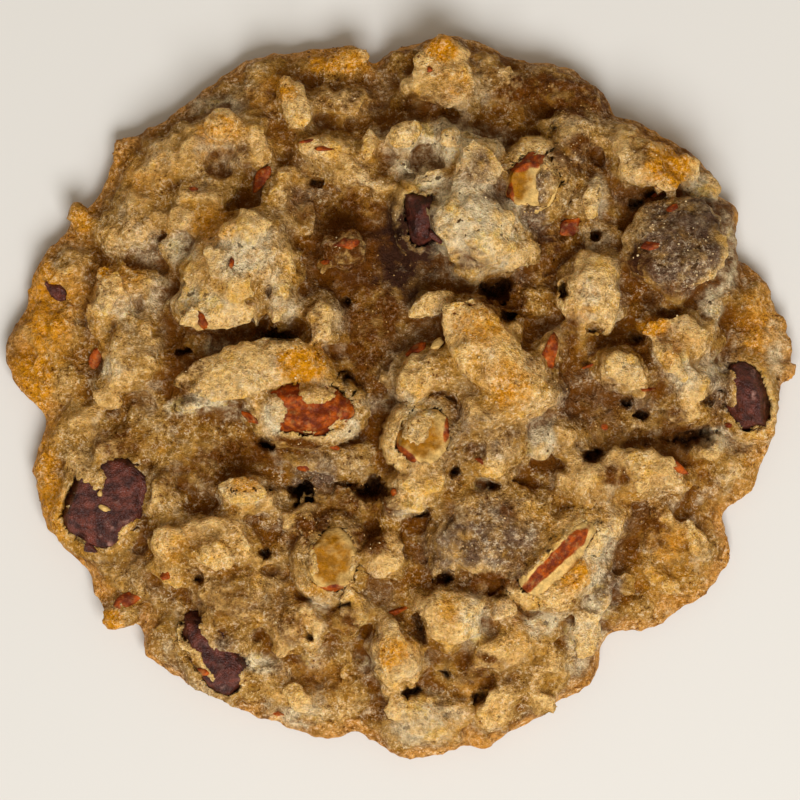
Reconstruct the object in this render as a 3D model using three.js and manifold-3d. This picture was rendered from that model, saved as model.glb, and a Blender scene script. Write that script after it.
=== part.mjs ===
// A thick chocolate chip cookie with oats and pecans, lying on its flat baked underside.
// Millimetres, +Z up. The origin is under the cookie's middle, on the surface that it lies on.
// The dough is one body: a low crown with an uneven outline, and lumps of dough, oat and nut on it.
// The chocolate and pecan pieces that show are solids of their own, each bedded in a pocket.

import * as THREE from "three";
import { ImprovedNoise } from "three/addons/math/ImprovedNoise.js";
import { mergeVertices } from "three/addons/utils/BufferGeometryUtils.js";
import Module from "manifold-3d";

const wasm = await Module();
wasm.setup();

// Driving dimensions.
const HALF_WIDTH = 45.5; // of the outline's ellipse along X, before its lobes
const HALF_DEPTH = 42.5; // of the outline's ellipse along Y
const RIM_HEIGHT = 5; // of the crown where it meets the rim
const CROWN_HEIGHT = 9.6; // of the crown at the middle, under the lumps
const CROWN_POWER = 3; // a higher power keeps the crown flat further out
const RIM_POWER = 14; // a higher power makes the rim's shoulder sharper
const NOSE_HEIGHT = 2.3; // where the rim reaches furthest out
const POCKET_GAP = 0.3; // between the dough and a piece bedded in it

// The underside is smaller than the outline: shares of its radius, and the heights there.
const UNDERCUT = [
  { share: 0.984, height: 0.7 },
  { share: 0.955, height: 0 },
];

// The dough between the lumps: how far below their tops it stays, how far out a lump draws it up,
// and how much it keeps to the crown. A lump's rise from it has these limits.
const BED = { below: 4.6, reach: 4.2, stiffness: 10 };
const LEAST_RISE = 1;
const STEEPEST = 1.35; // as a share of the lump's half width
const LUMP_POWER = 3; // a higher power gives a lump a flatter top
const LUMP_SIDES = 0.62; // a lower power gives a lump steeper sides

// How uneven the dough is: the push of the noise, and its turns per millimetre.
const CRUMB = { push: 0.45, pitch: 0.36 }; // height of the surface, in millimetres
const RAGGED = { push: 0.34, pitch: 0.3 }; // reach of a lump, as a share of its size
const WORN = { push: 0.12, pitch: 1.5 }; // reach of a bedded piece, as a share of its size
const SEED_STEP = 7.3; // sets the noise of each lump or piece apart from the next

// A bedded piece starts as a ball of radius 1, and these give it the shape of its kind.
const CHUNK = { squareness: 0.72, fullness: 0.94 };
const FURROW = { depth: 0.22, width: 0.28 };
const RIDGES = { depth: 0.05, pitch: 8 };

// How finely the skins are split.
const RINGS = 38; // of the dough's top, from the middle to the rim
const SECTORS = 6;
const PIECE_DETAIL = 2;

// Lobes where the dough spread further than the ellipse, and bays where it stayed behind:
// the angle from +X in degrees, the reach in millimetres and the spread in degrees.
const LOBES = [
  { angle: 7, reach: 2.2, spread: 5 },
  { angle: 16, reach: 1.0, spread: 4 },
  { angle: 22.8, reach: -1.6, spread: 2.4 },
  { angle: 29, reach: 1.6, spread: 2.5 },
  { angle: 38, reach: 1.6, spread: 6 },
  { angle: 52.5, reach: -1.3, spread: 2.4 },
  { angle: 62, reach: 1.2, spread: 7 },
  { angle: 80.5, reach: 1.5, spread: 5 },
  { angle: 94.4, reach: -2.3, spread: 3 },
  { angle: 114, reach: 1.4, spread: 8 },
  { angle: 137, reach: 0.6, spread: 6 },
  { angle: 147, reach: -0.9, spread: 3 },
  { angle: 161, reach: 1.5, spread: 5.5 },
  { angle: 173, reach: 2.5, spread: 6 },
  { angle: 184.5, reach: -2.7, spread: 4 },
  { angle: 199, reach: 0.5, spread: 4 },
  { angle: 208.5, reach: -1.4, spread: 4 },
  { angle: 221.5, reach: -2.6, spread: 2 },
  { angle: 243, reach: -0.6, spread: 10 },
  { angle: 263, reach: -1.7, spread: 3.5 },
  { angle: 273, reach: 1.4, spread: 6 },
  { angle: 283.8, reach: 1.3, spread: 2 },
  { angle: 298, reach: -1.4, spread: 5 },
  { angle: 311, reach: -5.2, spread: 6.5 },
  { angle: 322, reach: -1.6, spread: 5 },
  { angle: 340, reach: -3.6, spread: 4.5 },
  { angle: 349, reach: -1.0, spread: 4 },
];

// The lumps, area by area: where each stands, its half length and half width, the turn of its
// length from +X in degrees, and the height of its top above the surface under the cookie.
const TOP_EDGE = [
  { at: [-7.3, 40], size: [4.8, 2.1], turn: 5, top: 6.8 },
  { at: [-15.4, 40.1], size: [2.8, 1.9], turn: 20, top: 6.4 },
  { at: [-12.7, 34.9], size: [4.2, 2], turn: -69, top: 11.4 },
  { at: [4.7, 41], size: [2.8, 2.6], turn: 0, top: 12.3 },
  { at: [2.2, 37.2], size: [2.9, 2.3], turn: -30, top: 11.9 },
  { at: [7.7, 37.3], size: [3.5, 2.3], turn: -75, top: 12.9 },
  { at: [8.1, 34], size: [1.8, 1.5], turn: 0, top: 12 },
  { at: [11.9, 38.3], size: [4.1, 3.2], turn: -45, top: 8.4 },
  { at: [20.3, 36.8], size: [6.1, 2.7], turn: -25, top: 7.4 },
  { at: [-0.7, 40], size: [2.3, 1.7], turn: 30, top: 6.9 },
  { at: [-7.3, 35.3], size: [4.3, 2.4], turn: 0, top: 8.6 },
];
const UPPER_LEFT = [
  { at: [-21.7, 32.1], size: [3.3, 2.3], turn: 20, top: 11.2 },
  { at: [-17.5, 31.7], size: [2.8, 2.1], turn: 80, top: 11.5 },
  { at: [-27.7, 28.5], size: [6.2, 3.5], turn: 40, top: 8.9 },
  { at: [-31.5, 21.9], size: [5, 4.2], turn: 50, top: 8.5 },
  { at: [-24.7, 22.9], size: [5.2, 4.2], turn: 20, top: 10.2 },
  { at: [-21.1, 24.8], size: [1.9, 1.6], turn: 0, top: 12 },
  { at: [-18.1, 28.5], size: [3.6, 1.9], turn: 35, top: 11.2 },
  { at: [-14.5, 24.7], size: [3, 1.9], turn: 70, top: 13.4 },
  { at: [-38.9, 21.3], size: [2.1, 1.7], turn: -40, top: 5.6 },
  { at: [-34.3, 12.4], size: [4.1, 2.8], turn: 75, top: 8.4 },
  { at: [-30.7, 13.3], size: [2.3, 2], turn: 0, top: 9.2 },
  { at: [-40.9, 15.1], size: [3.8, 2.9], turn: 55, top: 6.2 },
];
const UPPER_RIDGE = [
  { at: [-8.5, 29.6], size: [4.2, 2.6], turn: -10, top: 10.9 },
  { at: [-3.5, 30.2], size: [2.5, 1.2], turn: 85, top: 13.4 },
  { at: [-6.1, 26.8], size: [3.5, 1.9], turn: -10, top: 13.2 },
  { at: [-1.9, 24.8], size: [3.1, 1.8], turn: -15, top: 12.7 },
  { at: [0.5, 30.8], size: [3, 2.1], turn: 15, top: 14.2 },
  { at: [5.3, 31.1], size: [2.2, 1.7], turn: 30, top: 14.2 },
  { at: [9.1, 27.6], size: [4.4, 3.7], turn: -30, top: 14 },
  { at: [8.3, 20.2], size: [6.6, 5.6], turn: -45, top: 16.6 },
  { at: [3.7, 26.2], size: [2.3, 1.4], turn: -15, top: 16.2 },
  { at: [11.9, 17.4], size: [3.4, 3.1], turn: 0, top: 16 },
];
const UPPER_RIGHT = [
  { at: [20.5, 31.1], size: [4.3, 3.5], turn: 0, top: 10.2 },
  { at: [23.9, 31.1], size: [2.3, 1.9], turn: 0, top: 11.2 },
  { at: [29.3, 29.5], size: [5.6, 4.6], turn: -35, top: 12 },
  { at: [31.4, 27.3], size: [2.9, 2.4], turn: 0, top: 14 },
  { at: [35.7, 27.1], size: [2.7, 1.9], turn: -60, top: 8.3 },
  { at: [20.9, 24.6], size: [2.9, 1.9], turn: 80, top: 12.9 },
  { at: [23.2, 23.4], size: [3.4, 1.4], turn: 80, top: 13.5 },
  { at: [32.7, 17.5], size: [6.5, 5.6], turn: 70, top: 12.9 },
  { at: [39.2, 20.7], size: [3.5, 1.5], turn: -80, top: 8.8 },
  { at: [39.1, 13.9], size: [3.9, 1.5], turn: 80, top: 9.4 },
  { at: [23, 12], size: [5.8, 3.9], turn: 80, top: 13.4 },
  { at: [24.6, 15.2], size: [2.7, 2.4], turn: 0, top: 14.2 },
  { at: [16.7, 11.1], size: [2.5, 2.2], turn: 0, top: 10.8 },
];
const LEFT = [
  { at: [-19.9, 15.1], size: [6.8, 5.8], turn: 60, top: 14.6 },
  { at: [-17.5, 20.1], size: [3.8, 2.5], turn: 20, top: 15.8 },
  { at: [-22.9, 11.4], size: [4.3, 3], turn: 10, top: 15 },
  { at: [-14.1, 15.7], size: [5.6, 2.5], turn: 100, top: 14.6 },
  { at: [-13.5, 10.8], size: [2.8, 1.9], turn: 70, top: 13.6 },
  { at: [-6.7, 17.2], size: [3.2, 2.7], turn: 0, top: 11.4 },
  { at: [-9.1, 8.8], size: [3.5, 2.7], turn: 80, top: 12.5 },
  { at: [-41.5, 7.9], size: [3.7, 3.4], turn: 0, top: 6 },
  { at: [-40.9, 1.9], size: [3.5, 2.8], turn: 0, top: 6 },
  { at: [-31.9, 5.5], size: [5, 3.7], turn: 80, top: 9.2 },
  { at: [-34.7, 1.6], size: [2.6, 1.9], turn: 60, top: 9.2 },
  { at: [-38.3, -4.3], size: [3.9, 3.4], turn: 45, top: 7.4 },
  { at: [-35.6, -6.4], size: [3, 1.9], turn: 40, top: 8.2 },
  { at: [-38.1, -8.7], size: [3.1, 1.7], turn: -62, top: 9.8 },
  { at: [-16.9, 2.2], size: [8.2, 3], turn: 14, top: 14.2 },
  { at: [-11.3, 3.5], size: [4.2, 2.8], turn: -10, top: 16.2 },
  { at: [-24.3, -0.5], size: [2.6, 1.2], turn: 16, top: 13.4 },
  { at: [-16.3, -2.1], size: [2.7, 2.1], turn: -20, top: 14.8 },
  { at: [-6.7, -2.7], size: [2.2, 2], turn: 0, top: 14.8 },
  { at: [-8.3, -7.9], size: [4.6, 2.3], turn: 0, top: 10.6 },
];
const CENTRE = [
  { at: [3.5, 11.1], size: [3.5, 1.6], turn: 15, top: 13.2 },
  { at: [9.8, 8.1], size: [4.5, 3.4], turn: -20, top: 17.6 },
  { at: [13.7, 1.3], size: [5.8, 5.2], turn: -50, top: 17 },
  { at: [17.7, 6.1], size: [2.7, 2.3], turn: 0, top: 15.2 },
  { at: [10.1, -2.3], size: [5, 4.2], turn: 0, top: 16 },
  { at: [2.3, 2.1], size: [3.9, 3.4], turn: 30, top: 14.8 },
  { at: [6.9, 3.7], size: [3.6, 3.4], turn: 0, top: 15.4 },
  { at: [4.1, -5.3], size: [4.4, 4.2], turn: 0, top: 14.4 },
  { at: [2.9, -10.7], size: [5, 3.3], turn: 15, top: 14.6 },
  { at: [-0.1, -13.3], size: [2.8, 1.7], turn: -10, top: 14.2 },
  { at: [11.9, -7.1], size: [4.6, 3.2], turn: 20, top: 14.6 },
  { at: [19.3, -5.1], size: [3.5, 2.2], turn: -70, top: 13.8 },
];
const RIGHT = [
  { at: [26.9, 2.8], size: [4.4, 3.3], turn: -30, top: 12.6 },
  { at: [31.9, 5.1], size: [5.5, 1.9], turn: -56, top: 13.6 },
  { at: [35.3, 7.7], size: [3.6, 2.6], turn: -75, top: 11.8 },
  { at: [35.1, 1.3], size: [2.8, 2.4], turn: 0, top: 11.6 },
  { at: [44.4, 5.7], size: [4.8, 2.2], turn: 90, top: 5.2 },
  { at: [42.3, 11.5], size: [3.1, 2.8], turn: 0, top: 5.6 },
  { at: [43.3, -4.1], size: [4.2, 2.3], turn: 70, top: 5 },
  { at: [40.3, -9.3], size: [3.7, 2.8], turn: 50, top: 5.4 },
  { at: [37.5, -6.9], size: [2.6, 2.2], turn: 0, top: 8.2 },
  { at: [34.5, -1.9], size: [3.2, 1.8], turn: 0, top: 9.8 },
  { at: [28.7, -9.9], size: [6, 2.9], turn: -10, top: 11.9 },
  { at: [22.7, -10.1], size: [4.2, 3.2], turn: 0, top: 12.2 },
  { at: [32.4, -19.1], size: [5.6, 5.2], turn: 0, top: 5.4 },
  { at: [37.2, -18.5], size: [2.8, 1.8], turn: 90, top: 5.8 },
  { at: [34.3, -23.1], size: [2.2, 1.9], turn: 0, top: 4.8 },
  { at: [28.7, -25.4], size: [3.2, 2], turn: 20, top: 4.8 },
];
const LOWER = [
  { at: [-18.7, -12.2], size: [3.9, 2.5], turn: -10, top: 12 },
  { at: [-22.3, -17.9], size: [6.2, 4.2], turn: -15, top: 10.9 },
  { at: [-12.3, -15.2], size: [2.8, 2.1], turn: 0, top: 11.2 },
  { at: [-19.3, -24.3], size: [5.5, 4.8], turn: 0, top: 9.3 },
  { at: [-19.7, -29.1], size: [3.4, 2], turn: -50, top: 8.6 },
  { at: [-28.3, -12.5], size: [3.9, 2.5], turn: 100, top: 9 },
  { at: [-28.3, -19.7], size: [3.7, 2.3], turn: -65, top: 8.8 },
  { at: [-33.5, -20.7], size: [3.5, 2.7], turn: -30, top: 6 },
  { at: [-1.9, -19.1], size: [3.3, 2.8], turn: 0, top: 12.2 },
  { at: [-5.5, -25.6], size: [3.6, 2.3], turn: 60, top: 10.4 },
  { at: [8.9, -16.7], size: [6.9, 5.8], turn: -15, top: 12.7 },
  { at: [20.3, -22.3], size: [4.9, 3], turn: 40, top: 12.8 },
  { at: [6.5, -26.3], size: [4.4, 4.2], turn: 0, top: 12.3 },
  { at: [-0.7, -31.1], size: [4.9, 3.2], turn: -75, top: 11.2 },
  { at: [-12.1, -27.2], size: [4.3, 3.6], turn: 0, top: 10.2 },
  { at: [13.1, -30.3], size: [4.9, 3.4], turn: 10, top: 9.8 },
  { at: [12.1, -25.5], size: [2.3, 1.9], turn: 0, top: 11.2 },
  { at: [25.1, -14.9], size: [2.9, 2.6], turn: -40, top: 10.6 },
  { at: [2.9, -38.9], size: [5.3, 4], turn: -10, top: 7.2 },
  { at: [11.9, -36.9], size: [3.8, 3.4], turn: 60, top: 8 },
  { at: [10.6, -42], size: [1.4, 1.3], turn: 0, top: 3.4 },
  { at: [-13.3, -36.1], size: [6, 2.6], turn: -12, top: 6.2 },
  { at: [-6.5, -36.7], size: [3.3, 3.1], turn: 0, top: 6.4 },
  { at: [17.1, -33.9], size: [4.7, 3.2], turn: 60, top: 7.6 },
  { at: [22.5, -27.9], size: [3.7, 2.3], turn: 60, top: 9 },
  { at: [-33.7, -25.3], size: [2.6, 2], turn: 20, top: 4.8 },
];
const LUMPS = [
  TOP_EDGE, UPPER_LEFT, UPPER_RIDGE, UPPER_RIGHT, LEFT, CENTRE, RIGHT, LOWER,
].flat();

// The bedded pieces, given as the lumps are, with the full height of each.
const CHOCOLATE = [
  { at: [-35.1, -12.3], size: [6, 4.7], turn: 60, top: 8, height: 6 },
  { at: [-22.5, -30.6], size: [6, 2.9], turn: -54, top: 7.2, height: 5 },
  { at: [41.3, -0.3], size: [4.4, 2.6], turn: -70, top: 7.8, height: 5 },
  { at: [2.5, 21.3], size: [3.4, 1.8], turn: -80, top: 14.4, height: 7 },
];
const PECANS = [
  { at: [-11.3, -1.5], size: [5.6, 3.1], turn: -4, top: 14.6, height: 6 },
  { at: [18.5, -19.4], size: [5.9, 2.2], turn: 44, top: 14, height: 6 },
  { at: [2.8, -4.9], size: [3.4, 3], turn: 60, top: 15.8, height: 5 },
  { at: [-8.1, -19.7], size: [3.7, 3], turn: 80, top: 12.8, height: 6 },
  { at: [15.7, 25.3], size: [3.6, 3.1], turn: 80, top: 13.8, height: 7 },
];

// Finishes.
const DOUGH = new THREE.MeshStandardMaterial({ color: "#c2924f", roughness: 0.8, metalness: 0 });
const DARK_CHOCOLATE = new THREE.MeshStandardMaterial({ color: "#4e2a22", roughness: 0.45, metalness: 0 });
const PECAN_SKIN = new THREE.MeshStandardMaterial({ color: "#9a5526", roughness: 0.5, metalness: 0 });

const perlin = new ImprovedNoise();

// The outline's radius at an angle in radians: the ellipse with its lobes and bays.
function outlineRadius(angle) {
  const ellipse = 1 / Math.hypot(Math.cos(angle) / HALF_WIDTH, Math.sin(angle) / HALF_DEPTH);
  const degrees = THREE.MathUtils.radToDeg(angle);
  return LOBES.reduce((radius, lobe) => {
    const away = THREE.MathUtils.euclideanModulo(degrees - lobe.angle + 180, 360) - 180;
    return radius + lobe.reach * Math.exp(-((away / lobe.spread) ** 2));
  }, ellipse);
}

// The share of the way from the middle to the rim at a place.
function rimShare(x, y) {
  return Math.hypot(x, y) / outlineRadius(Math.atan2(y, x));
}

// The height of the low crown at a place.
function crownHeight(x, y) {
  return RIM_HEIGHT + (CROWN_HEIGHT - RIM_HEIGHT) * (1 - rimShare(x, y) ** CROWN_POWER);
}

// The height of the dough that the lumps stand in: the crown, drawn up under the lumps near by.
function bedHeight(x, y) {
  let weight = BED.stiffness;
  let lift = 0;
  for (const { at, size, top } of LUMPS) {
    const away = Math.hypot(x - at[0], y - at[1]) / BED.reach;
    const pull = size[0] * size[1] * Math.exp(-(away ** 2));
    weight += pull;
    lift += pull * (top - BED.below - crownHeight(...at));
  }
  return crownHeight(x, y) + lift / weight;
}

// How far a lump rises from the bed at a place: a steep-sided dome with a ragged outline.
function lumpRise({ at, size: [long, wide], turn, rise }, seed, x, y) {
  const offset = new THREE.Vector2(x - at[0], y - at[1]);
  if (offset.length() > long / (1 - RAGGED.push)) return 0;
  offset.rotateAround(new THREE.Vector2(), -THREE.MathUtils.degToRad(turn));
  const ragged = 1 + RAGGED.push * perlin.noise(x * RAGGED.pitch, y * RAGGED.pitch, seed);
  const away = Math.hypot(offset.x / long, offset.y / wide) * ragged;
  return away < 1 ? rise * (1 - away ** LUMP_POWER) ** LUMP_SIDES : 0;
}

const risenLumps = LUMPS.map((lump) => {
  const above = lump.top - bedHeight(...lump.at);
  return { ...lump, rise: THREE.MathUtils.clamp(above, LEAST_RISE, STEEPEST * lump.size[1]) };
});

// The height of the dough's top at a place: the bed, the highest lump there and the crumb,
// all falling to the nose of the rim.
function topHeight(x, y) {
  const rise = Math.max(...risenLumps.map((lump, i) => lumpRise(lump, SEED_STEP * i, x, y)));
  const crumb = CRUMB.push * perlin.noise(x * CRUMB.pitch, y * CRUMB.pitch, SEED_STEP);
  const fall = Math.sqrt(1 - Math.min(1, rimShare(x, y)) ** RIM_POWER);
  return NOSE_HEIGHT + (bedHeight(x, y) + rise + crumb - NOSE_HEIGHT) * fall;
}

// The dough before its pockets are cut. Each ring of the top has one corner more in every sector
// than the ring inside it, so that the triangles are about alike from the middle to the rim.
function doughBody() {
  const positions = [];
  const triangles = [];
  const addRing = (corners, share, height) => {
    const first = positions.length / 3;
    for (let corner = 0; corner < corners; corner++) {
      const angle = (2 * Math.PI * corner) / corners;
      const radius = share * outlineRadius(angle);
      const x = radius * Math.cos(angle);
      const y = radius * Math.sin(angle);
      positions.push(x, y, height(x, y));
    }
    return { corners, corner: (i) => first + (i % corners) };
  };

  let inner = addRing(1, 0, topHeight);
  for (let ring = 1; ring <= RINGS; ring++) {
    const outer = addRing(SECTORS * ring, ring / RINGS, topHeight);
    for (let i = 0; i < outer.corners; i++) {
      const sector = Math.floor(i / ring);
      const near = inner.corner(i - sector);
      triangles.push(outer.corner(i), outer.corner(i + 1), near);
      if (i % ring < ring - 1) triangles.push(near, outer.corner(i + 1), inner.corner(i - sector + 1));
    }
    inner = outer;
  }
  for (const { share, height } of UNDERCUT) {
    const lower = addRing(inner.corners, share, () => height);
    for (let i = 0; i < lower.corners; i++) {
      triangles.push(lower.corner(i), lower.corner(i + 1), inner.corner(i));
      triangles.push(inner.corner(i), lower.corner(i + 1), inner.corner(i + 1));
    }
    inner = lower;
  }
  const middle = addRing(1, 0, () => 0).corner(0);
  for (let i = 0; i < inner.corners; i++) triangles.push(inner.corner(i + 1), inner.corner(i), middle);

  const body = new THREE.BufferGeometry();
  body.setAttribute("position", new THREE.Float32BufferAttribute(positions, 3));
  body.setIndex(triangles);
  return body;
}

// A chunk of chocolate: a rounded block with soft corners.
function chocolateShape(point) {
  const squared = (v) => CHUNK.fullness * Math.sign(v) * Math.abs(v) ** CHUNK.squareness;
  point.set(squared(point.x), squared(point.y), squared(point.z));
}

// A piece of pecan: ridged across, with the furrow of the kernel along its top.
function pecanShape(point) {
  const furrow = FURROW.depth * Math.exp(-((point.y / FURROW.width) ** 2)) * Math.max(0, point.z);
  point.multiplyScalar(1 + RIDGES.depth * Math.sin(RIDGES.pitch * point.x));
  point.z *= 1 - furrow;
}

// A bedded piece, grown on every side by the clearance: a worn ball, given its kind's shape.
function piece({ at: [x, y], size: [long, wide], turn, top, height }, shape, seed, clearance) {
  const ball = new THREE.IcosahedronGeometry(1, PIECE_DETAIL);
  ball.deleteAttribute("normal");
  ball.deleteAttribute("uv");
  const body = mergeVertices(ball);
  const positions = body.getAttribute("position");
  const point = new THREE.Vector3();
  for (let i = 0; i < positions.count; i++) {
    point.fromBufferAttribute(positions, i);
    const [u, v, w] = point.clone().multiplyScalar(WORN.pitch).addScalar(SEED_STEP * seed).toArray();
    shape(point.multiplyScalar(1 + WORN.push * perlin.noise(u, v, w)));
    positions.setXYZ(i, point.x, point.y, point.z);
  }
  return body
    .scale(long + clearance, wide + clearance, height / 2 + clearance)
    .rotateZ(THREE.MathUtils.degToRad(turn))
    .translate(x, y, top - height / 2);
}

// A closed geometry as a solid that can be cut.
function solidOf(geometry) {
  return new wasm.Manifold(
    new wasm.Mesh({
      numProp: 3,
      vertProperties: geometry.getAttribute("position").array,
      triVerts: new Uint32Array(geometry.index.array),
    }),
  );
}

// A solid as a geometry.
function geometryOf(solid) {
  const { vertProperties, numProp, triVerts } = solid.getMesh();
  const geometry = new THREE.BufferGeometry();
  geometry.setAttribute("position", new THREE.BufferAttribute(vertProperties, numProp));
  geometry.setIndex(new THREE.BufferAttribute(triVerts, 1));
  return geometry;
}

const bedded = [
  ...CHOCOLATE.map((place, i) => ({
    name: `chocolate_chip_${i + 1}`, place, shape: chocolateShape, material: DARK_CHOCOLATE,
  })),
  ...PECANS.map((place, i) => ({
    name: `pecan_piece_${i + 1}`, place, shape: pecanShape, material: PECAN_SKIN,
  })),
];

// The dough with a pocket for each bedded piece, without the scraps that the cuts leave loose.
function dough() {
  const cut = bedded.reduce(
    (body, { place, shape }, i) => body.subtract(solidOf(piece(place, shape, i, POCKET_GAP))),
    solidOf(doughBody()),
  );
  return geometryOf(cut.decompose().sort((a, b) => b.volume() - a.volume())[0]);
}

const cookie = new THREE.Group();
const addPart = (name, geometry, material) => {
  geometry.computeVertexNormals();
  const mesh = new THREE.Mesh(geometry, material);
  mesh.name = name;
  cookie.add(mesh);
};
addPart("dough", dough(), DOUGH);
bedded.forEach(({ name, place, shape, material }, i) => {
  addPart(name, piece(place, shape, i, 0), material);
});

// Sets the middle of the whole over the origin.
const middle = new THREE.Box3().setFromObject(cookie).getCenter(new THREE.Vector3());
cookie.position.set(-middle.x, -middle.y, 0);

export default cookie;
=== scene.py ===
"""Looks of a thick chocolate chip cookie with oats and pecans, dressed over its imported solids.

Sizes and places are millimetres in the cookie's own frame: seen from above +X is right and +Y is up,
and +Z rises from the surface that the cookie lies on. Meshes become metres when they are set in place.
"""

import logging
import math
from dataclasses import dataclass, field
from enum import Enum

import bmesh
import bpy
import numpy as np
from mathutils import Matrix, Quaternion, Vector, noise
from mathutils.bvhtree import BVHTree


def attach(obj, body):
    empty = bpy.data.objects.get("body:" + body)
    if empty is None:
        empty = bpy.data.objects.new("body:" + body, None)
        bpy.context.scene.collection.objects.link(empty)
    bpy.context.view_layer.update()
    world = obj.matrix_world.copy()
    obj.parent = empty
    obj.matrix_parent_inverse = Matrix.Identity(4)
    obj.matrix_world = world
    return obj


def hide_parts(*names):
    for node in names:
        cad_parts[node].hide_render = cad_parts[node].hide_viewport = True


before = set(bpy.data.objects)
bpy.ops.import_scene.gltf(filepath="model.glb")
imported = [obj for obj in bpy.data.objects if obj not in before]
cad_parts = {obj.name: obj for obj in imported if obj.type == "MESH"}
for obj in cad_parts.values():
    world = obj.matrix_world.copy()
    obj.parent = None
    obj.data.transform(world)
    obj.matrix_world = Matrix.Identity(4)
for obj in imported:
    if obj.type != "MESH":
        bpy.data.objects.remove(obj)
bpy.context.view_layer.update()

log = logging.getLogger("cookie")

MM = 0.001
BODY = "root"
SKY = 60.0  # a height well above the cookie, from which rays are cast down
UP = Vector((0.0, 0.0, 1.0))
DOWN = Vector((0.0, 0.0, -1.0))
PLAN = (1.0, 1.0, 0.0)  # lays places flat, so that noise runs straight down through the cookie
FULL_TURN = 2 * math.pi
MERGE_DISTANCE = 1e-6  # metres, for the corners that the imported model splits
MOST_SEED = 90.0  # chance seeds of noise are drawn from 0 up to this
RIDGE_TOP = 0.4
RIDGE_SLOPE = 2.2

Colour = tuple[float, float, float, float]
Value = bpy.types.NodeSocket | float | Colour | tuple[float, float, float]
Ends = tuple[float, float]  # two numbers that a chance or a ramp runs between


def srgb(red: int, green: int, blue: int) -> Colour:
    """The linear colour of a screen colour whose channels run from 0 to 255.

    Args:
        red: Red channel.
        green: Green channel.
        blue: Blue channel.

    Returns:
        Linear red, green and blue, and a full alpha.
    """
    shares = [channel / 255 for channel in (red, green, blue)]
    linear = [s / 12.92 if s <= 0.04045 else ((s + 0.055) / 1.055) ** 2.4 for s in shares]
    return (linear[0], linear[1], linear[2], 1.0)


@dataclass(frozen=True)
class Ramp:
    """A smooth ramp from 0 at its start to 1 at its end, which may be the lower of the two."""

    start: float
    end: float

    def at(self, values: np.ndarray) -> np.ndarray:
        """The ramp at each of several numbers."""
        share = np.clip((values - self.start) / (self.end - self.start), 0.0, 1.0)
        return share * share * (3.0 - 2.0 * share)


def noise_at(points: np.ndarray, pitch: float, seed: float = 0.0) -> np.ndarray:
    """Smooth noise from about -1 to 1.

    Args:
        points: Places in millimetres, one a row.
        pitch: How far apart the bumps of the noise are, in millimetres.
        seed: Sets one use of the noise apart from another.

    Returns:
        The noise at each place.
    """
    return np.array([noise.noise(point) for point in (points / pitch + seed).tolist()])


def grains_at(points: np.ndarray, pitch: float, seed: float = 0.0) -> np.ndarray:
    """How far each place is from the nearest of many scattered grain middles, in pitches.

    Args:
        points: Places in millimetres, one a row.
        pitch: How far apart the grains are, in millimetres.
        seed: Sets one use of the grains apart from another.

    Returns:
        The distance at each place.
    """
    return np.array([noise.voronoi(point)[0][0] for point in (points / pitch + seed).tolist()])


@dataclass(frozen=True)
class Waves:
    """Smooth noise over a surface: its height, how far apart its bumps are and what sets it apart."""

    height: float
    pitch: float
    seed: float = 0.0

    def at(self, points: np.ndarray) -> np.ndarray:
        """The noise at each place, from about minus to plus its height."""
        return self.height * noise_at(points, self.pitch, self.seed)

    def ridges(self, points: np.ndarray) -> np.ndarray:
        """Sharp ridges with soft dents between them, at each place."""
        return self.height * (RIDGE_TOP - RIDGE_SLOPE * np.abs(noise_at(points, self.pitch, self.seed)))


def rough(points: np.ndarray, layers: tuple[Waves, ...], level: float = 0.0) -> np.ndarray:
    """Layers of noise, one upon the other, around a level.

    Args:
        points: Places, one a row.
        layers: The noise.
        level: What the noise is added to.

    Returns:
        The sum at each place.
    """
    return sum((layer.at(points) for layer in layers), start=level)


# The plan of the cookie

class Tint(Enum):
    """How the oven and the toppings left the dough in a place, with painted light and shade among them:
    the pale tint also paints light on some lumps, and the brown and dark tints also paint shade in valleys
    and beside lumps.
    """

    GOLDEN = "golden"
    PALE_AND_LIT = "pale"
    TOASTED = "toasted"
    BROWN_AND_SHADE = "brown"
    GREY = "grey"
    DARK_AND_SHADE = "dark"


class Mark(Enum):
    """What else a mesh notes at each corner, for its finish to read."""

    # How far a corner stands out: lighter on lumps as painted light, darker in hollows as painted shade.
    STAND_LIGHT_AND_SHADE = "stand"
    ASHEN = "ashen"
    # Low rim: its own baked orange, lightened as a painted glow.
    RIM = "rim"
    # Crests: painted light.
    LIT_EDGE = "edge"
    # Creases: painted shade.
    FOLD_SHADE = "fold"
    # Holes: painted shade, near black.
    HOLE_SHADE = "hole"
    UNDERSIDE = "underside"
    BLOOM = "bloom"
    SKIN = "skin"
    AMBER = "amber"
    # A crumb's tone: the painted light and shade of the dough under it, and chance.
    TONE = "tone"


Mask = Tint | Mark


@dataclass(frozen=True)
class Spot:
    """An oval place on the cookie, seen from above."""

    x: float
    y: float
    long: float
    wide: float
    turn: float = 0.0

    def away(self, points: np.ndarray) -> np.ndarray:
        """How far places are from the middle: 1 on the oval's own edge.

        Args:
            points: Places in millimetres, one a row.

        Returns:
            The distance of each place.
        """
        turn = math.radians(self.turn)
        right = points[:, 0] - self.x
        up = points[:, 1] - self.y
        along = right * math.cos(turn) + up * math.sin(turn)
        across = up * math.cos(turn) - right * math.sin(turn)
        return np.hypot(along / self.long, across / self.wide)


@dataclass(frozen=True)
class Patch(Spot):
    """A place where the dough has a tint of its own."""

    strength: float = 1.0


@dataclass(frozen=True)
class Hollow(Spot):
    """A hole or a deep fold between lumps of dough."""

    depth: float = 2.0


@dataclass(frozen=True)
class Flake(Spot):
    """An oat flake, a finger of dough or a knob that stands out on its own."""

    thick: float = 1.0
    rise: float = 0.4
    lean: float = 0.0


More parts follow.
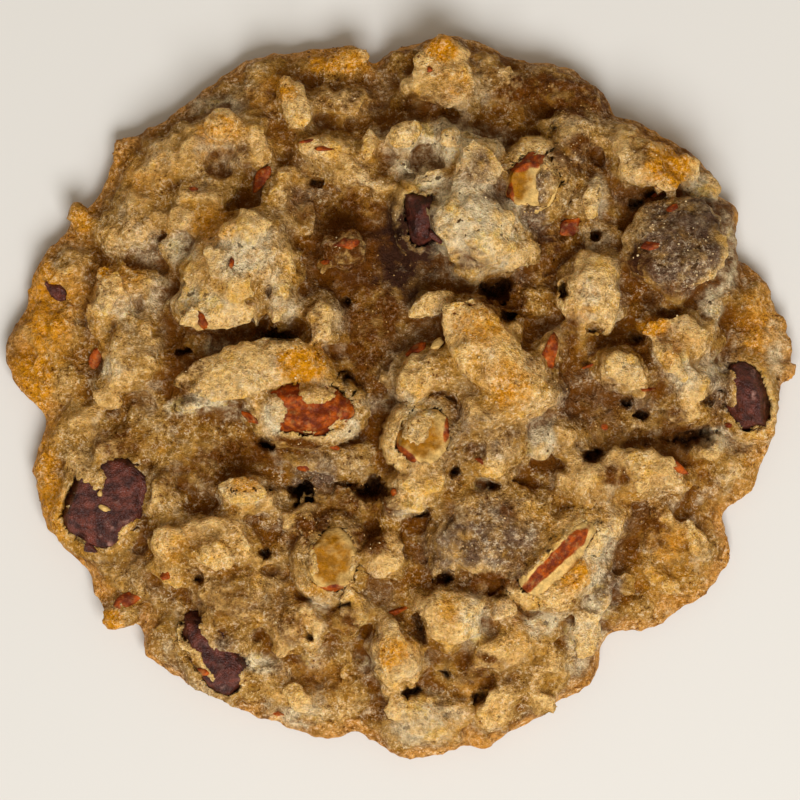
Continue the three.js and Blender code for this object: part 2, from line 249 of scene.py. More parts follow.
TINTED_PLACES: dict[Tint, tuple[Patch, ...]] = {
    Tint.GOLDEN: (
        Patch(-22.1, 29.6, 3.0, 3.0, 0, 0.6),
        Patch(-10.1, -32.8, 4.0, 2.0, 0, 0.8),
        Patch(-9.5, -23.2, 2.0, 1.4, 0, 0.7),
        Patch(16.3, -26.2, 2.4, 1.8, 0, 0.7),
        Patch(44.5, 9.2, 3.0, 6.0, 0, 0.9),
        Patch(30.1, 31.4, 5.0, 3.0, -40, 0.8),
        Patch(41.6, 21.2, 1.4, 5.0, 0, 0.7),
        Patch(21.7, 11.6, 3.0, 4.0, 0, 0.7),
        Patch(19.5, 18.8, 2.0, 2.5, 0, 0.7),
        Patch(-39.5, 11.6, 3.0, 5.0, 0, 0.8),
        Patch(-34.7, 13.4, 2.4, 4.0, 0, 0.8),
        Patch(-22.1, 19.4, 3.0, 4.0, 0, 0.7),
        Patch(31.9, -16.6, 3.4, 3.4, 0, 0.7),
        Patch(12.7, -25.6, 2.6, 1.8, 0, 0.7),
        Patch(-15.5, 35.6, 2.4, 3.0, 0, 0.7),
        Patch(9.1, -35.0, 3.0, 1.4, 0, 0.7),
        Patch(43.0, -8.0, 2.4, 6.0, -20, 0.8),
        Patch(-30.0, 27.0, 5.0, 3.0, 50, 0.6),
    ),
    # Pale patches: partly pale dough, partly painted light on lumps that the lamp leaves dim.
    Tint.PALE_AND_LIT: (
        Patch(-17.6, 2.6, 7.0, 2.4, 12, 0.5),
        Patch(-6.6, 18.2, 2.6, 1.0, 10, 0.5),
        Patch(-29.9, 17.6, 5.0, 2.0, 0, 0.45),
        Patch(-33.5, 9.2, 3.0, 1.6, 0, 0.45),
        Patch(2.5, -1.3, 3.0, 1.4, 0, 0.6),
        Patch(17.0, -4.8, 1.8, 3.0, 0, 0.9),
        Patch(23.5, -19.6, 5.4, 1.8, 66, 0.9),
        Patch(37.8, 3.0, 1.8, 2.6, 0, 0.9),
        Patch(37.9, -5.0, 2.4, 1.6, 0, 0.9),
        Patch(37.8, 13.0, 1.1, 4.0, 0, 0.8),
        Patch(9.1, 20.6, 6.2, 6.4, -30),
        Patch(4.9, 30.2, 7.0, 3.0, 0, 0.8),
        Patch(33.5, 3.0, 4.0, 2.5, -56, 0.7),
        Patch(-18.4, 17.6, 4.8, 3.6, 20, 0.75),
        Patch(-22.5, 10.8, 4.2, 1.8, 5, 0.9),
        Patch(-24.0, -0.8, 3.6, 1.4, 10),
        Patch(-14.8, -2.3, 2.0, 2.2, 0, 0.9),
        Patch(-7.1, -3.6, 2.4, 1.8),
        Patch(-7.8, 9.3, 2.5, 3.0, 0, 0.35),
        Patch(2.9, -38.6, 5.0, 4.0, 0, 0.5),
        Patch(-11.9, -38.2, 4.0, 1.6, 0, 0.5),
        Patch(33.8, 16.2, 2.2, 1.8, 20, 0.6),
        Patch(40.5, -5.5, 2.4, 2.0, 0, 0.4),
        Patch(45.0, 6.0, 1.6, 4.0, 0, 0.5),
        Patch(22.0, -28.4, 3.0, 3.0, 0, 0.7),
        Patch(8.8, -27.0, 2.2, 3.6, 0, 0.8),
        Patch(-18.6, -11.2, 2.8, 1.8),
        Patch(30.5, -7.6, 4.4, 1.6, -10, 0.2),
        Patch(-26.3, 17.8, 2.4, 2.2, 0, 0.8),
        Patch(-33.0, 10.4, 4.0, 3.0, 0, 0.5),
        Patch(-28.5, 12.5, 2.4, 2.6, 0, 0.5),
        Patch(-24.4, 11.4, 2.4, 2.4, 0, 0.8),
        Patch(35.6, 25.0, 3.4, 2.2, -30, 0.7),
        Patch(-21.8, 6.0, 2.6, 1.6, 20, 0.5),
        Patch(37.3, 11.6, 1.6, 2.4, 0, 0.8),
        Patch(21.1, -32.2, 1.8, 1.8, 0, 0.5),
        Patch(7.3, -38.2, 1.8, 1.8, 0, 0.35),
        Patch(-21.8, 34.6, 3.0, 1.8, 0, 0.7),
        Patch(-19.6, -1.6, 1.8, 1.4, 0, 0.6),
        Patch(9.7, -10.4, 1.6, 1.2, 0, 0.5),
        Patch(-10.7, -31.6, 2.0, 1.4, 0, 0.5),
        Patch(-21.5, 29.4, 3.0, 3.4, 0, 0.4),
        Patch(3.6, 25.8, 2.0, 1.8, 0, 0.9),
        Patch(-1.0, -0.7, 4.0, 1.4, 0, 0.5),
        Patch(24.1, -24.6, 2.0, 2.4, 0, 0.9),
        Patch(16.9, -26.8, 2.4, 2.0, 0, 0.8),
        Patch(-9.5, -24.6, 1.8, 1.2, 0, 0.5),
        Patch(-3.5, -31.6, 2.2, 1.8, 0, 0.45),
        Patch(-16.7, -31.8, 3.0, 1.4, 0, 0.7),
        Patch(-34.6, 12.6, 2.0, 3.4, 0, 0.3),
        Patch(3.7, 11.0, 3.4, 1.8, 20, 0.3),
        Patch(1.6, 26.9, 3.0, 1.6, -20),
        Patch(-34.6, 3.3, 1.6, 1.4, 0, 0.8),
        Patch(12.4, -25.6, 2.2, 1.4, 0, 0.4),
        Patch(0.7, -13.2, 2.6, 1.4, 0, 0.8),
        Patch(23.8, 24.0, 1.4, 2.8, 0, 0.8),
        Patch(9.8, 37.2, 1.8, 3.0, 20, 0.3),
        Patch(39.4, 17.8, 1.2, 5.5, 5, 0.8),
        Patch(26.6, 3.4, 2.6, 1.6, -30, 0.6),
        Patch(23.6, 12.4, 3.6, 4.6, 10, 0.5),
        Patch(-14.0, 12.0, 2.0, 4.0, 10, 0.6),
    ),
    Tint.TOASTED: (
        Patch(4.9, 41.8, 2.4, 2.0),
        Patch(7.0, 37.6, 2.4, 2.6, 0, 0.4),
        Patch(32.2, 27.5, 3.0, 2.6, 0, 1.0),
        Patch(30.4, 8.4, 2.0, 1.4),
        Patch(32.4, 5.0, 1.4, 2.6, -30, 0.5),
        Patch(9.7, 8.6, 4.0, 3.0, 0, 0.6),
        Patch(13.6, 1.4, 3.2, 3.4, 0, 0.6),
        Patch(-11.6, 3.8, 3.6, 2.6, 0, 0.9),
        Patch(-21.5, 32.3, 2.8, 2.2, 0, 0.6),
        Patch(-13.7, 36.6, 1.6, 1.8, 0, 0.7),
        Patch(-7.1, 40.4, 4.5, 2.0, 0, 0.7),
        Patch(-0.8, -30.5, 2.4, 2.2, 0, 0.7),
        Patch(6.0, -26.0, 2.0, 2.6, 0, 0.4),
        Patch(-7.1, -3.3, 1.2, 1.0, 0, 0.7),
        Patch(-18.5, -10.4, 2.2, 1.3, 0, 0.7),
        Patch(-35.0, -27.0, 2.0, 1.4),
        Patch(-33.5, 27.4, 3.0, 3.0, 0, 0.4),
        Patch(21.0, -21.4, 2.6, 2.0, 40, 0.8),
        Patch(-38.0, 21.2, 2.0, 2.0, 0, 0.6),
        Patch(-35.2, 14.9, 1.1, 0.9),
        Patch(-43.0, 12.0, 3.0, 9.0, 10, 0.75),
        Patch(-44.5, 1.0, 3.2, 6.0, 0, 0.85),
        Patch(31.6, 32.0, 4.0, 2.4, -40, 0.6),
        Patch(42.5, 8.5, 3.0, 5.0, 0, 0.5),
        Patch(-42.0, -12.0, 2.2, 10.0, 5, 0.7),
        Patch(-27.0, -17.6, 2.0, 2.4, 0, 0.4),
        Patch(32.0, -21.0, 6.0, 5.0, 0, 0.3),
        Patch(-22.0, 20.4, 3.4, 2.6, 0, 0.45),
        Patch(-32.3, 14.0, 2.6, 2.6, 0, 0.4),
    ),
    # Brown patches: partly the oven's brown, partly painted shade in valleys and beside lumps.
    Tint.BROWN_AND_SHADE: (
        Patch(7.9, 16.2, 3.0, 1.6, 0, 0.6),
        Patch(18.1, 17.0, 1.6, 2.4, 0, 0.6),
        Patch(21.7, 30.2, 2.4, 1.6, 0, 0.8),
        Patch(18.9, 18.4, 1.6, 2.0, 0, 0.8),
        Patch(28.3, 15.8, 2.0, 2.6, 0, 0.9),
        Patch(-10.4, 9.0, 1.5, 2.4, 0, 0.6),
        Patch(18.3, 2.6, 1.4, 2.6, 0, 0.25),
        Patch(25.8, -9.2, 2.6, 1.4, 0, 0.8),
        Patch(-3.6, -16.8, 2.6, 2.6, 0, 0.8),
        Patch(-11.6, -16.4, 2.0, 2.0, 0, 0.8),
        Patch(19.4, 27.5, 1.6, 3.0, 0, 0.6),
        Patch(13.4, -13.4, 2.4, 1.6, 0, 0.5),
        Patch(14.6, -20.4, 2.6, 2.6, 0, 0.5),
        Patch(11.0, -22.2, 3.2, 1.8, 0, 1.0),
        Patch(-18.6, 28.4, 1.4, 2.2, 0, 0.5),
        Patch(-12.4, -5.4, 4.4, 0.8, -4, 0.9),
        Patch(28.8, 28.6, 1.8, 1.8, 0, 0.5),
        Patch(32.4, 12.8, 2.0, 1.2, 0, 0.6),
        Patch(33.1, -2.4, 2.0, 1.6, 0, 0.6),
        Patch(20.4, 7.4, 1.2, 3.0, 0, 0.6),
        Patch(-11.5, 23.0, 2.2, 2.8, 0, 0.6),
        Patch(-1.6, 9.8, 2.0, 3.4, 0, 1.0),
        Patch(-33.5, -5.6, 3.6, 2.2, 0, 0.7),
        Patch(-26.9, -10.0, 3.6, 2.0, 0, 0.5),
        Patch(-25.1, -17.2, 3.0, 3.0, 0, 0.35),
        Patch(-10.1, -14.8, 3.0, 2.0, 0, 0.8),
        Patch(-2.3, -17.2, 2.6, 2.0, 0, 0.55),
        Patch(-13.1, -27.4, 2.0, 2.6, 0, 0.6),
        Patch(-6.6, -26.6, 2.4, 2.4, 0, 0.65),
        Patch(9.7, -31.6, 3.4, 1.6, 0, 0.7),
        Patch(30.5, -15.6, 2.2, 3.0, 0, 0.7),
        Patch(-46.0, 3.0, 2.2, 9.0, 0, 0.35),
        Patch(-5.5, 17.5, 5.5, 7.5, 0, 0.85),
        Patch(-4.4, 6.6, 2.6, 6.0, 0, 0.8),
        Patch(-25.6, 3.4, 2.6, 4.0, 0, 0.7),
        Patch(-18.5, -6.8, 6.0, 1.8, 0, 0.8),
        Patch(-24.0, -8.6, 3.0, 2.0, 0, 0.6),
        Patch(22.9, -0.8, 4.0, 3.6, 0, 0.5),
        Patch(-4.1, -12.4, 6.0, 2.6, 0, 0.7),
        Patch(33.4, -5.0, 3.6, 1.6, 0, 0.9),
        Patch(12.4, 12.0, 3.0, 2.6, 0, 0.9),
        Patch(18.0, 36.2, 9.0, 2.8, -10, 0.9),
        Patch(-6.5, 35.6, 5.0, 2.0, 0, 0.5),
        Patch(2.4, 34.8, 3.0, 1.6, 0, 0.7),
        Patch(12.1, -32.8, 6.0, 3.0, 0, 0.3),
        Patch(10.0, -33.6, 3.0, 1.8, 0, 0.6),
        Patch(-20.0, -24.6, 6.0, 3.6, 0, 0.5),
        Patch(-30.0, 23.6, 6.0, 5.0, 30, 0.25),
        Patch(-33.0, -21.0, 4.0, 4.0, 0, 0.3),
        Patch(40.4, 9.5, 2.4, 5.0, 0, 0.4),
        Patch(28.0, -17.0, 2.4, 4.0, -20, 0.5),
        Patch(-8.0, -34.0, 5.0, 1.8, 0, 0.45),
        Patch(-2.6, 2.4, 1.4, 3.4, 0, 0.5),
    ),
    Tint.GREY: (
        Patch(9.0, -4.6, 9.0, 4.4, 0, 0.5),
        Patch(26.5, 24.2, 2.2, 2.0, 0, 0.5),
        Patch(28.6, -13.4, 2.0, 1.4, 0, 0.5),
        Patch(22.0, -3.0, 12.0, 7.0, -10, 0.35),
        Patch(17.2, 25.6, 1.6, 2.8, 0, 0.6),
        Patch(16.3, 21.8, 1.6, 2.6, 0, 0.9),
        Patch(-10.1, -10.0, 3.4, 1.8, 0, 0.9),
        # Painted shade under the upper ridge of the pale slab.
        Patch(9.7, 27.6, 1.6, 2.6, 0, 0.6),
        Patch(14.5, 14.2, 2.0, 1.6, 0, 0.5),
        Patch(24.4, -0.4, 2.6, 2.4, 0, 0.6),
        Patch(26.6, -14.2, 2.6, 1.8, 0, 0.3),
        Patch(4.9, -18.4, 3.0, 3.0, 0, 0.7),
        Patch(9.1, 26.0, 2.2, 1.8, 0, 0.5),
        Patch(33.2, 18.2, 5.6, 6.4, 0, 1.0),
        Patch(10.6, -16.8, 7.0, 5.4, -15, 0.75),
        Patch(21.1, -0.6, 3.0, 3.6, 0, 0.6),
        Patch(11.5, 24.2, 2.2, 1.8, 0, 0.7),
        Patch(20.8, 29.4, 3.4, 2.4, 0, 0.6),
        Patch(-20.4, -30.0, 2.5, 1.6, -40, 0.6),
        Patch(38.6, 1.0, 2.0, 5.0, 0, 0.6),
        Patch(-9.0, -8.2, 4.0, 2.0, 0, 0.55),
        Patch(25.2, -22.4, 1.6, 3.6, -25, 0.7),
        Patch(28.8, -1.2, 3.2, 1.6, 0, 0.55),
        Patch(-11.0, 24.0, 3.4, 1.8, 0, 0.5),
        Patch(-15.2, -25.0, 3.0, 2.4, 0, 0.4),
    ),
    # Dark patches: partly chocolate under thin dough, partly painted shade beside lumps.
    Tint.DARK_AND_SHADE: (
        Patch(-7.4, -15.2, 3.0, 1.4, 0, 0.35),
        Patch(0.8, 17.8, 4.0, 6.4, 0, 0.9),
        Patch(-5.6, 15.6, 3.0, 3.0, 0, 0.35),
        Patch(6.4, -16.0, 2.2, 1.8, 0, 0.4),
        Patch(36.4, 20.4, 3.2, 4.0, 10, 0.5),
        Patch(28.6, 16.6, 1.8, 3.6, 0, 0.65),
        Patch(17.8, 18.8, 1.6, 2.4, 0, 0.5),
    ),
}

# Holes and folds that look black from above: carved into the dough, and painted near black as painted
# shade.
HOLLOWS = (
    Hollow(-11.5, -11.3, 1.4, 1.5, 0, 4.0),
    Hollow(-3.0, -11.0, 2.0, 1.4, 0, 3.6),
    Hollow(11.6, 12.8, 2.1, 1.2, 20, 3.8),
    Hollow(12.8, 9.5, 1.1, 0.7, 0, 2.6),
    Hollow(34.7, -4.7, 3.0, 1.0, 12, 2.6),
    Hollow(23.0, -7.0, 1.4, 0.8, 10, 2.8),
    Hollow(23.5, 19.1, 0.8, 0.6, 0, 2.4),
    Hollow(5.3, -21.6, 1.2, 0.8, 0, 2.6),
    Hollow(28.5, 6.9, 0.9, 0.5, 0, 2.2),
    Hollow(-15.8, -5.4, 1.1, 0.9, 0, 2.6),
    Hollow(28.5, 23.2, 0.8, 0.6, 0, 2.0),
    Hollow(30.3, 24.3, 1.0, 0.45, 10, 1.8),
    Hollow(19.5, 12.6, 0.6, 1.1, 0, 2.4),
    Hollow(-10.7, -28.6, 0.6, 0.5, 0, 1.8),
    Hollow(-6.5, -24.8, 0.9, 0.45, 15, 2.0),
    Hollow(-15.9, -18.7, 0.7, 0.65, 0, 2.0),
    Hollow(-24.1, -21.8, 0.6, 0.45, 0, 1.6),
    Hollow(1.7, -35.2, 1.2, 0.5, 10, 2.2),
    Hollow(9.5, -36.0, 1.2, 0.6, 20, 2.2),
    Hollow(5.7, -33.0, 0.8, 0.5, -30, 2.0),
    Hollow(27.1, -0.6, 0.8, 0.8, 0, 2.0),
    Hollow(28.9, -2.2, 1.1, 0.5, 0, 2.0),
    Hollow(23.1, 8.0, 0.8, 0.6, 0, 1.8),
    Hollow(37.0, -0.4, 0.7, 0.5, 0, 1.8),
    Hollow(23.7, -14.9, 1.0, 0.5, -10, 2.0),
    Hollow(6.7, -8.8, 0.9, 0.5, 50, 1.8),
    Hollow(11.3, -10.6, 0.7, 0.4, 25, 1.6),
    Hollow(-6.3, 11.4, 0.7, 0.45, 0, 1.6),
    Hollow(-0.1, 19.4, 0.7, 0.8, 0, 2.0),
    Hollow(-10.1, 25.6, 0.9, 0.6, 0, 2.0),
    Hollow(18.5, 32.0, 0.5, 0.6, 0, 1.6),
    Hollow(-25.7, 5.4, 0.9, 0.4, 10, 1.8),
    Hollow(2.5, -14.0, 1.0, 0.4, 15, 2.0),
    Hollow(-6.3, 1.8, 0.6, 1.2, 20, 2.2),
    Hollow(-14.6, 7.2, 2.4, 0.6, -5, 2.0),
    Hollow(2.6, -27.6, 0.6, 1.8, 15, 2.0),
    Hollow(17.9, -18.3, 0.6, 0.5, 0, 1.6),
)

# Dough that baked over a bedded piece and stays on it.
SMEARS = (
    Spot(-15.6, -1.7, 2.1, 2.2),
    Spot(-9.9, 1.0, 2.3, 1.8, -10),
    Spot(-6.7, -4.3, 2.2, 1.6, 20),
    Spot(17.1, -17.9, 7.0, 1.15, 44),
    Spot(-37.6, -7.4, 4.0, 1.5, -65),
    Spot(-31.2, -16.4, 2.4, 2.0, 30),
    Spot(-21.2, -28.0, 3.2, 2.0, -54),
    Spot(-25.0, -31.5, 5.0, 1.3, -54),
    Spot(-17.6, -34.0, 1.8, 1.2, -54),
    Spot(39.5, 1.2, 1.0, 2.4, 10),
    Spot(43.6, -4.2, 1.4, 0.8),
    Spot(1.9, -3.2, 1.6, 2.4, 25),
    Spot(0.4, -2.4, 1.8, 2.4),
    Spot(2.4, -1.4, 2.8, 1.3),
    Spot(18.7, 25.0, 2.2, 4.0, 5),
    Spot(15.2, 21.9, 2.6, 0.9),
    Spot(-10.8, -19.4, 1.0, 1.8, 10),
    Spot(-4.9, -20.4, 0.9, 2.2, -10),
)

# Flakes, fingers and knobs that can be told apart in the dough.
FLAKES = (
    Flake(-6.6, 17.6, 3.2, 2.2, 10, 1.5, 0.7),
    Flake(22.8, 12.4, 4.2, 5.2, 10, 4.4, -4.2),
    Flake(31.6, -14.4, 3.4, 1.3, -50, 0.9, 0.3),
    Flake(35.6, -17.4, 3.2, 1.2, -60, 0.9, 0.2),
    Flake(31.0, -21.6, 3.6, 1.3, -40, 0.9, 0.2),
    Flake(-16.4, -33.2, 4.2, 1.0, 12, 0.8, 0.3),
    Flake(-27.4, -17.0, 2.2, 1.8, 20, 1.1, 0.3),
    Flake(-22.2, -18.6, 2.4, 1.8, -30, 1.1, 0.3),
    Flake(-13.6, -22.6, 3.2, 1.2, 20, 0.9, 0.3),
    Flake(-12.3, 35.0, 3.4, 1.7, -70, 1.4, 0.6),
    Flake(3.7, 11.0, 3.3, 1.4, 25, 0.6, 0.9, 8),
    Flake(1.9, 26.9, 2.2, 0.6, -32, 0.4, 1.3),
    Flake(-3.5, 30.2, 2.3, 1.0, 85, 0.8, 0.6),
    Flake(0.6, 31.1, 2.3, 1.4, 25, 1.1, 0.5),
    Flake(6.1, 30.8, 1.4, 1.3, 0, 1.1, 0.6),
    Flake(9.6, 27.8, 3.0, 1.9, -50, 0.9, 0.6, -10),
    Flake(-23.9, -0.8, 2.7, 0.7, 8, 0.6, 0.4),
    Flake(30.4, 8.3, 1.7, 1.1, 40, 1.0, 0.8),
    Flake(-21.1, 32.4, 2.2, 1.8, 30, 1.1, 0.4),
    Flake(5.1, 41.6, 1.6, 1.5, 0, 1.2, 0.5),
    Flake(-34.4, 12.6, 3.2, 1.5, 72, 0.6, 0.5, 6),
    Flake(-35.2, 14.9, 1.1, 0.8, 40, 0.5, 0.8),
    Flake(-18.8, -11.2, 3.0, 1.7, -10, 1.0, 0.4),
    Flake(0.7, -13.0, 2.3, 1.0, 0, 0.9, 0.3),
    Flake(-5.9, 40.7, 2.4, 1.4, 0, 1.0, 0.2),
    Flake(-38.3, 21.8, 1.6, 1.3, -30, 1.1, 0.4),
    Flake(23.2, 23.8, 3.0, 1.1, 80, 0.7, 0.5),
    Flake(32.2, 4.6, 3.6, 1.2, -56, 0.9, 0.6),
    Flake(39.6, 18.0, 4.8, 0.8, 88, 0.7, 0.6),
    Flake(26.8, 3.2, 3.0, 1.8, -30, 1.0, 0.4),
    Flake(22.6, -29.0, 2.8, 1.4, 60, 0.8, 0.4),
    Flake(-14.2, 11.0, 2.6, 1.3, 75, 0.9, 0.5),
    Flake(29.0, -7.6, 4.4, 1.6, -14, 0.9, 0.4),
    Flake(9.8, 5.4, 6.4, 4.2, -58, 2.4, -0.4),
    Flake(13.6, -15.8, 8.8, 5.6, 10, 2.2, -1.0),
    Flake(33.0, 18.6, 6.4, 6.0, 0, 2.6, -1.0),
    Flake(-17.8, 3.2, 8.4, 3.4, 14, 1.5, 0.6),
    Flake(5.2, 38.4, 3.6, 4.2, 0, 1.6, 0.4),
    Flake(-9.3, 8.9, 2.6, 1.7, 80, 0.8, 0.5),
    Flake(12.6, -25.6, 1.9, 1.0, 20, 0.8, 0.4),
    Flake(-33.2, -26.0, 2.6, 1.8, 38, 1.4, 0.0),
    Flake(-21.5, 9.8, 4.6, 1.8, 5, 1.0, 0.5),
    Flake(36.2, 25.2, 3.0, 2.0, -35, 1.4, 0.6),
    Flake(34.8, 24.6, 2.6, 1.4, -15, 1.4, 0.9),
    Flake(31.6, 26.0, 2.4, 1.5, -10, 1.3, 0.7),
    Flake(-23.6, 6.8, 2.4, 1.3, 0, 1.0, 0.5),
    Flake(-17.8, 20.0, 3.0, 2.2, 10, 1.2, 0.6),
    Flake(16.6, -4.4, 2.2, 3.2, 0, 1.2, 0.4),
    Flake(33.2, 27.2, 3.0, 1.9, 0, 1.0, 0.4),
    Flake(37.2, 11.4, 1.6, 2.6, 0, 1.0, 0.4),
    Flake(4.0, 25.8, 2.4, 1.6, 20, 0.9, 0.5),
    Flake(-26.3, 17.6, 2.4, 2.0, 0, 0.9, 0.4),
    Flake(-36.0, 9.6, 2.6, 1.8, 60, 0.8, 0.4),
    Flake(24.0, -23.4, 1.6, 2.8, -20, 1.0, 0.4),
    Flake(17.8, -27.2, 2.6, 1.8, 10, 0.9, 0.4),
    Flake(7.2, -38.0, 1.8, 1.8, 0, 0.9, 0.3),
    Flake(21.6, -12.2, 2.0, 1.2, 20, 0.8, 0.4),
    Flake(-26.2, -21.2, 2.0, 1.6, 0, 0.9, 0.4),
)


# Meshes

def coordinates(mesh: bpy.types.Mesh) -> np.ndarray:
    """The corners of a mesh.

    Args:
        mesh: The mesh.

    Returns:
        Their places, one a row.
    """
    flat = np.empty(len(mesh.vertices) * 3)
    mesh.vertices.foreach_get("co", flat)
    return flat.reshape(-1, 3)


def set_coordinates(mesh: bpy.types.Mesh, corners: np.ndarray) -> None:
    """Moves the corners of a mesh to the given rows."""
    mesh.vertices.foreach_set("co", corners.ravel())
    mesh.update()


def corner_normals(mesh: bpy.types.Mesh) -> np.ndarray:
    """The direction that each corner of a mesh faces.

    Args:
        mesh: The mesh.

    Returns:
        Directions of length 1, one a row.
    """
    flat = np.empty(len(mesh.vertices) * 3)
    mesh.vertex_normals.foreach_get("vector", flat)
    return flat.reshape(-1, 3)


def set_mask(mesh: bpy.types.Mesh, name: Mask, values: np.ndarray) -> None:
    """Keeps a number for each corner of a mesh, for its finish to read."""
    mask = mesh.attributes.new(name.value, "FLOAT", "POINT")
    mask.data.foreach_set("value", values.astype(np.float32))


@dataclass
class Shell:
    """Corners and triangles of one closed skin, or of several, in millimetres."""

    corners: np.ndarray
    triangles: np.ndarray

    @classmethod
    def of_node(cls, name: str) -> "Shell":
        """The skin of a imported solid, with its split corners merged.

        Args:
            name: The solid's node.

        Returns:
            Its skin.
        """
        work = bmesh.new()
        work.from_mesh(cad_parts[name].data)
        bmesh.ops.remove_doubles(work, verts=work.verts, dist=MERGE_DISTANCE)
        shell = cls.of_work(work)
        shell.corners /= MM
        return shell

    @classmethod
    def of_ball(cls, detail: int) -> "Shell":
        """A ball of radius 1.

        Args:
            detail: How finely it is split, from 1 up.

        Returns:
            Its skin.
        """
        work = bmesh.new()
        bmesh.ops.create_icosphere(work, subdivisions=detail, radius=1.0)
        return cls.of_work(work)

    @classmethod
    def of_work(cls, work: bmesh.types.BMesh) -> "Shell":
        """The skin of an editable mesh.

        Args:
            work: The editable mesh. It is used up.

        Returns:
            Its skin, split into triangles.
        """
        bmesh.ops.triangulate(work, faces=work.faces)
        work.verts.index_update()
        corners = np.array([corner.co for corner in work.verts])
        triangles = np.array([[corner.index for corner in face.verts] for face in work.faces])
        work.free()
        return cls(corners, triangles)

    @classmethod
    def of_mesh(cls, mesh: bpy.types.Mesh) -> "Shell":
        """The skin of a mesh.

        Args:
            mesh: The mesh.

        Returns:
            Its skin, split into triangles.
        """
        mesh.calc_loop_triangles()
        flat = np.empty(len(mesh.loop_triangles) * 3, dtype=np.int32)
        mesh.loop_triangles.foreach_get("vertices", flat)
        return cls(coordinates(mesh), flat.reshape(-1, 3))

    @classmethod
    def joined(cls, shells: list["Shell"]) -> "Shell":
        """Several skins as one.

        Args:
            shells: The skins.

        Returns:
            All of them, in the same order.
        """
        firsts = np.cumsum([0] + [len(shell.corners) for shell in shells[:-1]])
        corners = np.concatenate([shell.corners for shell in shells])
        triangles = np.concatenate([s.triangles + first for s, first in zip(shells, firsts)])
        return cls(corners, triangles)

    def tree(self) -> BVHTree:
        """The skin as a tree that rays can be sent to."""
        return BVHTree.FromPolygons(self.corners.tolist(), self.triangles.tolist())

    def mesh(self, name: str) -> bpy.types.Mesh:
        """The skin as a mesh.

        Args:
            name: What to call the mesh.

        Returns:
            The new mesh.
        """
        mesh = bpy.data.meshes.new(name)
        mesh.from_pydata(self.corners.tolist(), [], self.triangles.tolist())
        return mesh

    def fused(self, name: str, voxel: float, rounds: int) -> bpy.types.Mesh:
        """One even skin over all that the shell encloses, softened.

        Args:
            name: What to call the mesh.
            voxel: How far apart its corners are.
            rounds: How many times its corners move towards their neighbours.

        Returns:
            The new mesh.
        """
        holder = bpy.data.objects.new(name, self.mesh(name))
        bpy.context.scene.collection.objects.link(holder)
        skin = holder.modifiers.new("skin", "REMESH")
        skin.mode = "VOXEL"
        skin.voxel_size = voxel
        soft = holder.modifiers.new("soft", "SMOOTH")
        soft.iterations = rounds
        return applied(holder)


def applied(holder: bpy.types.Object) -> bpy.types.Mesh:
    """The mesh of an object with its modifiers applied.

    Args:
        holder: The object. It is removed.

    Returns:
        The new mesh.
    """
    graph = bpy.context.evaluated_depsgraph_get()
    mesh = bpy.data.meshes.new_from_object(holder.evaluated_get(graph))
    bpy.data.objects.remove(holder)
    return mesh


def seen_from_above(tree: BVHTree, places: np.ndarray) -> tuple[np.ndarray, np.ndarray]:
    """The first surface that a ray from above meets.

    Args:
        tree: The surfaces.
        places: Where the rays come down, one a row.

    Returns:
        The height at each place, or minus infinity where there is no surface, and how far it faces up.
    """
    hits = [tree.ray_cast(Vector((x, y, SKY)), DOWN)[:2] for x, y in places[:, :2].tolist()]
    heights = np.array([-math.inf if hit is None else hit.z for hit, _ in hits])
    facing = np.array([0.0 if normal is None else normal.z for _, normal in hits])
    return heights, facing


def posed(corners: np.ndarray, turn: Quaternion, middle: Vector) -> np.ndarray:
    """Corners turned about the origin, then moved to their place."""
    return corners @ np.array(turn.to_matrix()).T + np.array(middle)


FLAKE_UPRIGHT = 0.5  # how far a flake on a slope turns back towards level
FLAKE_DENTS = (0.22, 0.6)  # height and pitch, on a ball of radius 1
FLAKE_NICKS = (0.1, 0.25)


def lying(flake: Flake, ground: BVHTree, ball: Shell) -> Shell:
    """A flake that lies on what is under it.

    Args:
        flake: Its place and size.
        ground: What it lies on.
        ball: The ball that it is shaped from.

    Returns:
        Its skin.
    """
    hit, normal, _, _ = ground.ray_cast(Vector((flake.x, flake.y, SKY)), DOWN)
    if hit is None:
        raise ValueError(f"nothing under {flake}")
    facing = normal.lerp(UP, FLAKE_UPRIGHT).normalized()
    worn = rough(ball.corners, (Waves(*FLAKE_DENTS, flake.x), Waves(*FLAKE_NICKS, flake.y)), 1.0)
    corners = ball.corners * worn[:, None] * (flake.long, flake.wide, flake.thick)
    turn = Quaternion((0, 0, 1), math.radians(flake.turn))
    lean = Quaternion((1, 0, 0), math.radians(flake.lean))
    pose = UP.rotation_difference(facing) @ turn @ lean
    return Shell(posed(corners, pose, hit + facing * flake.rise), ball.triangles)


def place(
    name: str, mesh: bpy.types.Mesh, finish: bpy.types.Material, nodes: tuple[str, ...] = ()
) -> bpy.types.Object:
    """Sets a mesh in millimetres on the cookie as a dressed piece.

    Args:
        name: The piece's name.
        mesh: Its mesh.
        finish: Its material.
        nodes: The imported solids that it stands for.

    Returns:
        The piece.
    """
    mesh.transform(Matrix.Scale(MM, 4))
    mesh.shade_smooth()
    mesh.materials.clear()
    mesh.materials.append(finish)
    piece = bpy.data.objects.new(name, mesh)
    bpy.context.scene.collection.objects.link(piece)
    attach(piece, BODY)
    if nodes:
        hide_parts(*nodes)
    log.info("%s: %d faces", name, len(mesh.polygons))
    return piece


# Finishes

MIX_AMOUNT = 0  # the mix node's sockets for colours
MIX_FIRST = 6
MIX_SECOND = 7
MIX_RESULT = 2


@dataclass(frozen=True)
class Mottle:
    """Noise in a finish: how far apart its bumps are, its finer steps and how strong each of them is."""

    pitch: float
    detail: float = 2.0
    rough: float = 0.6


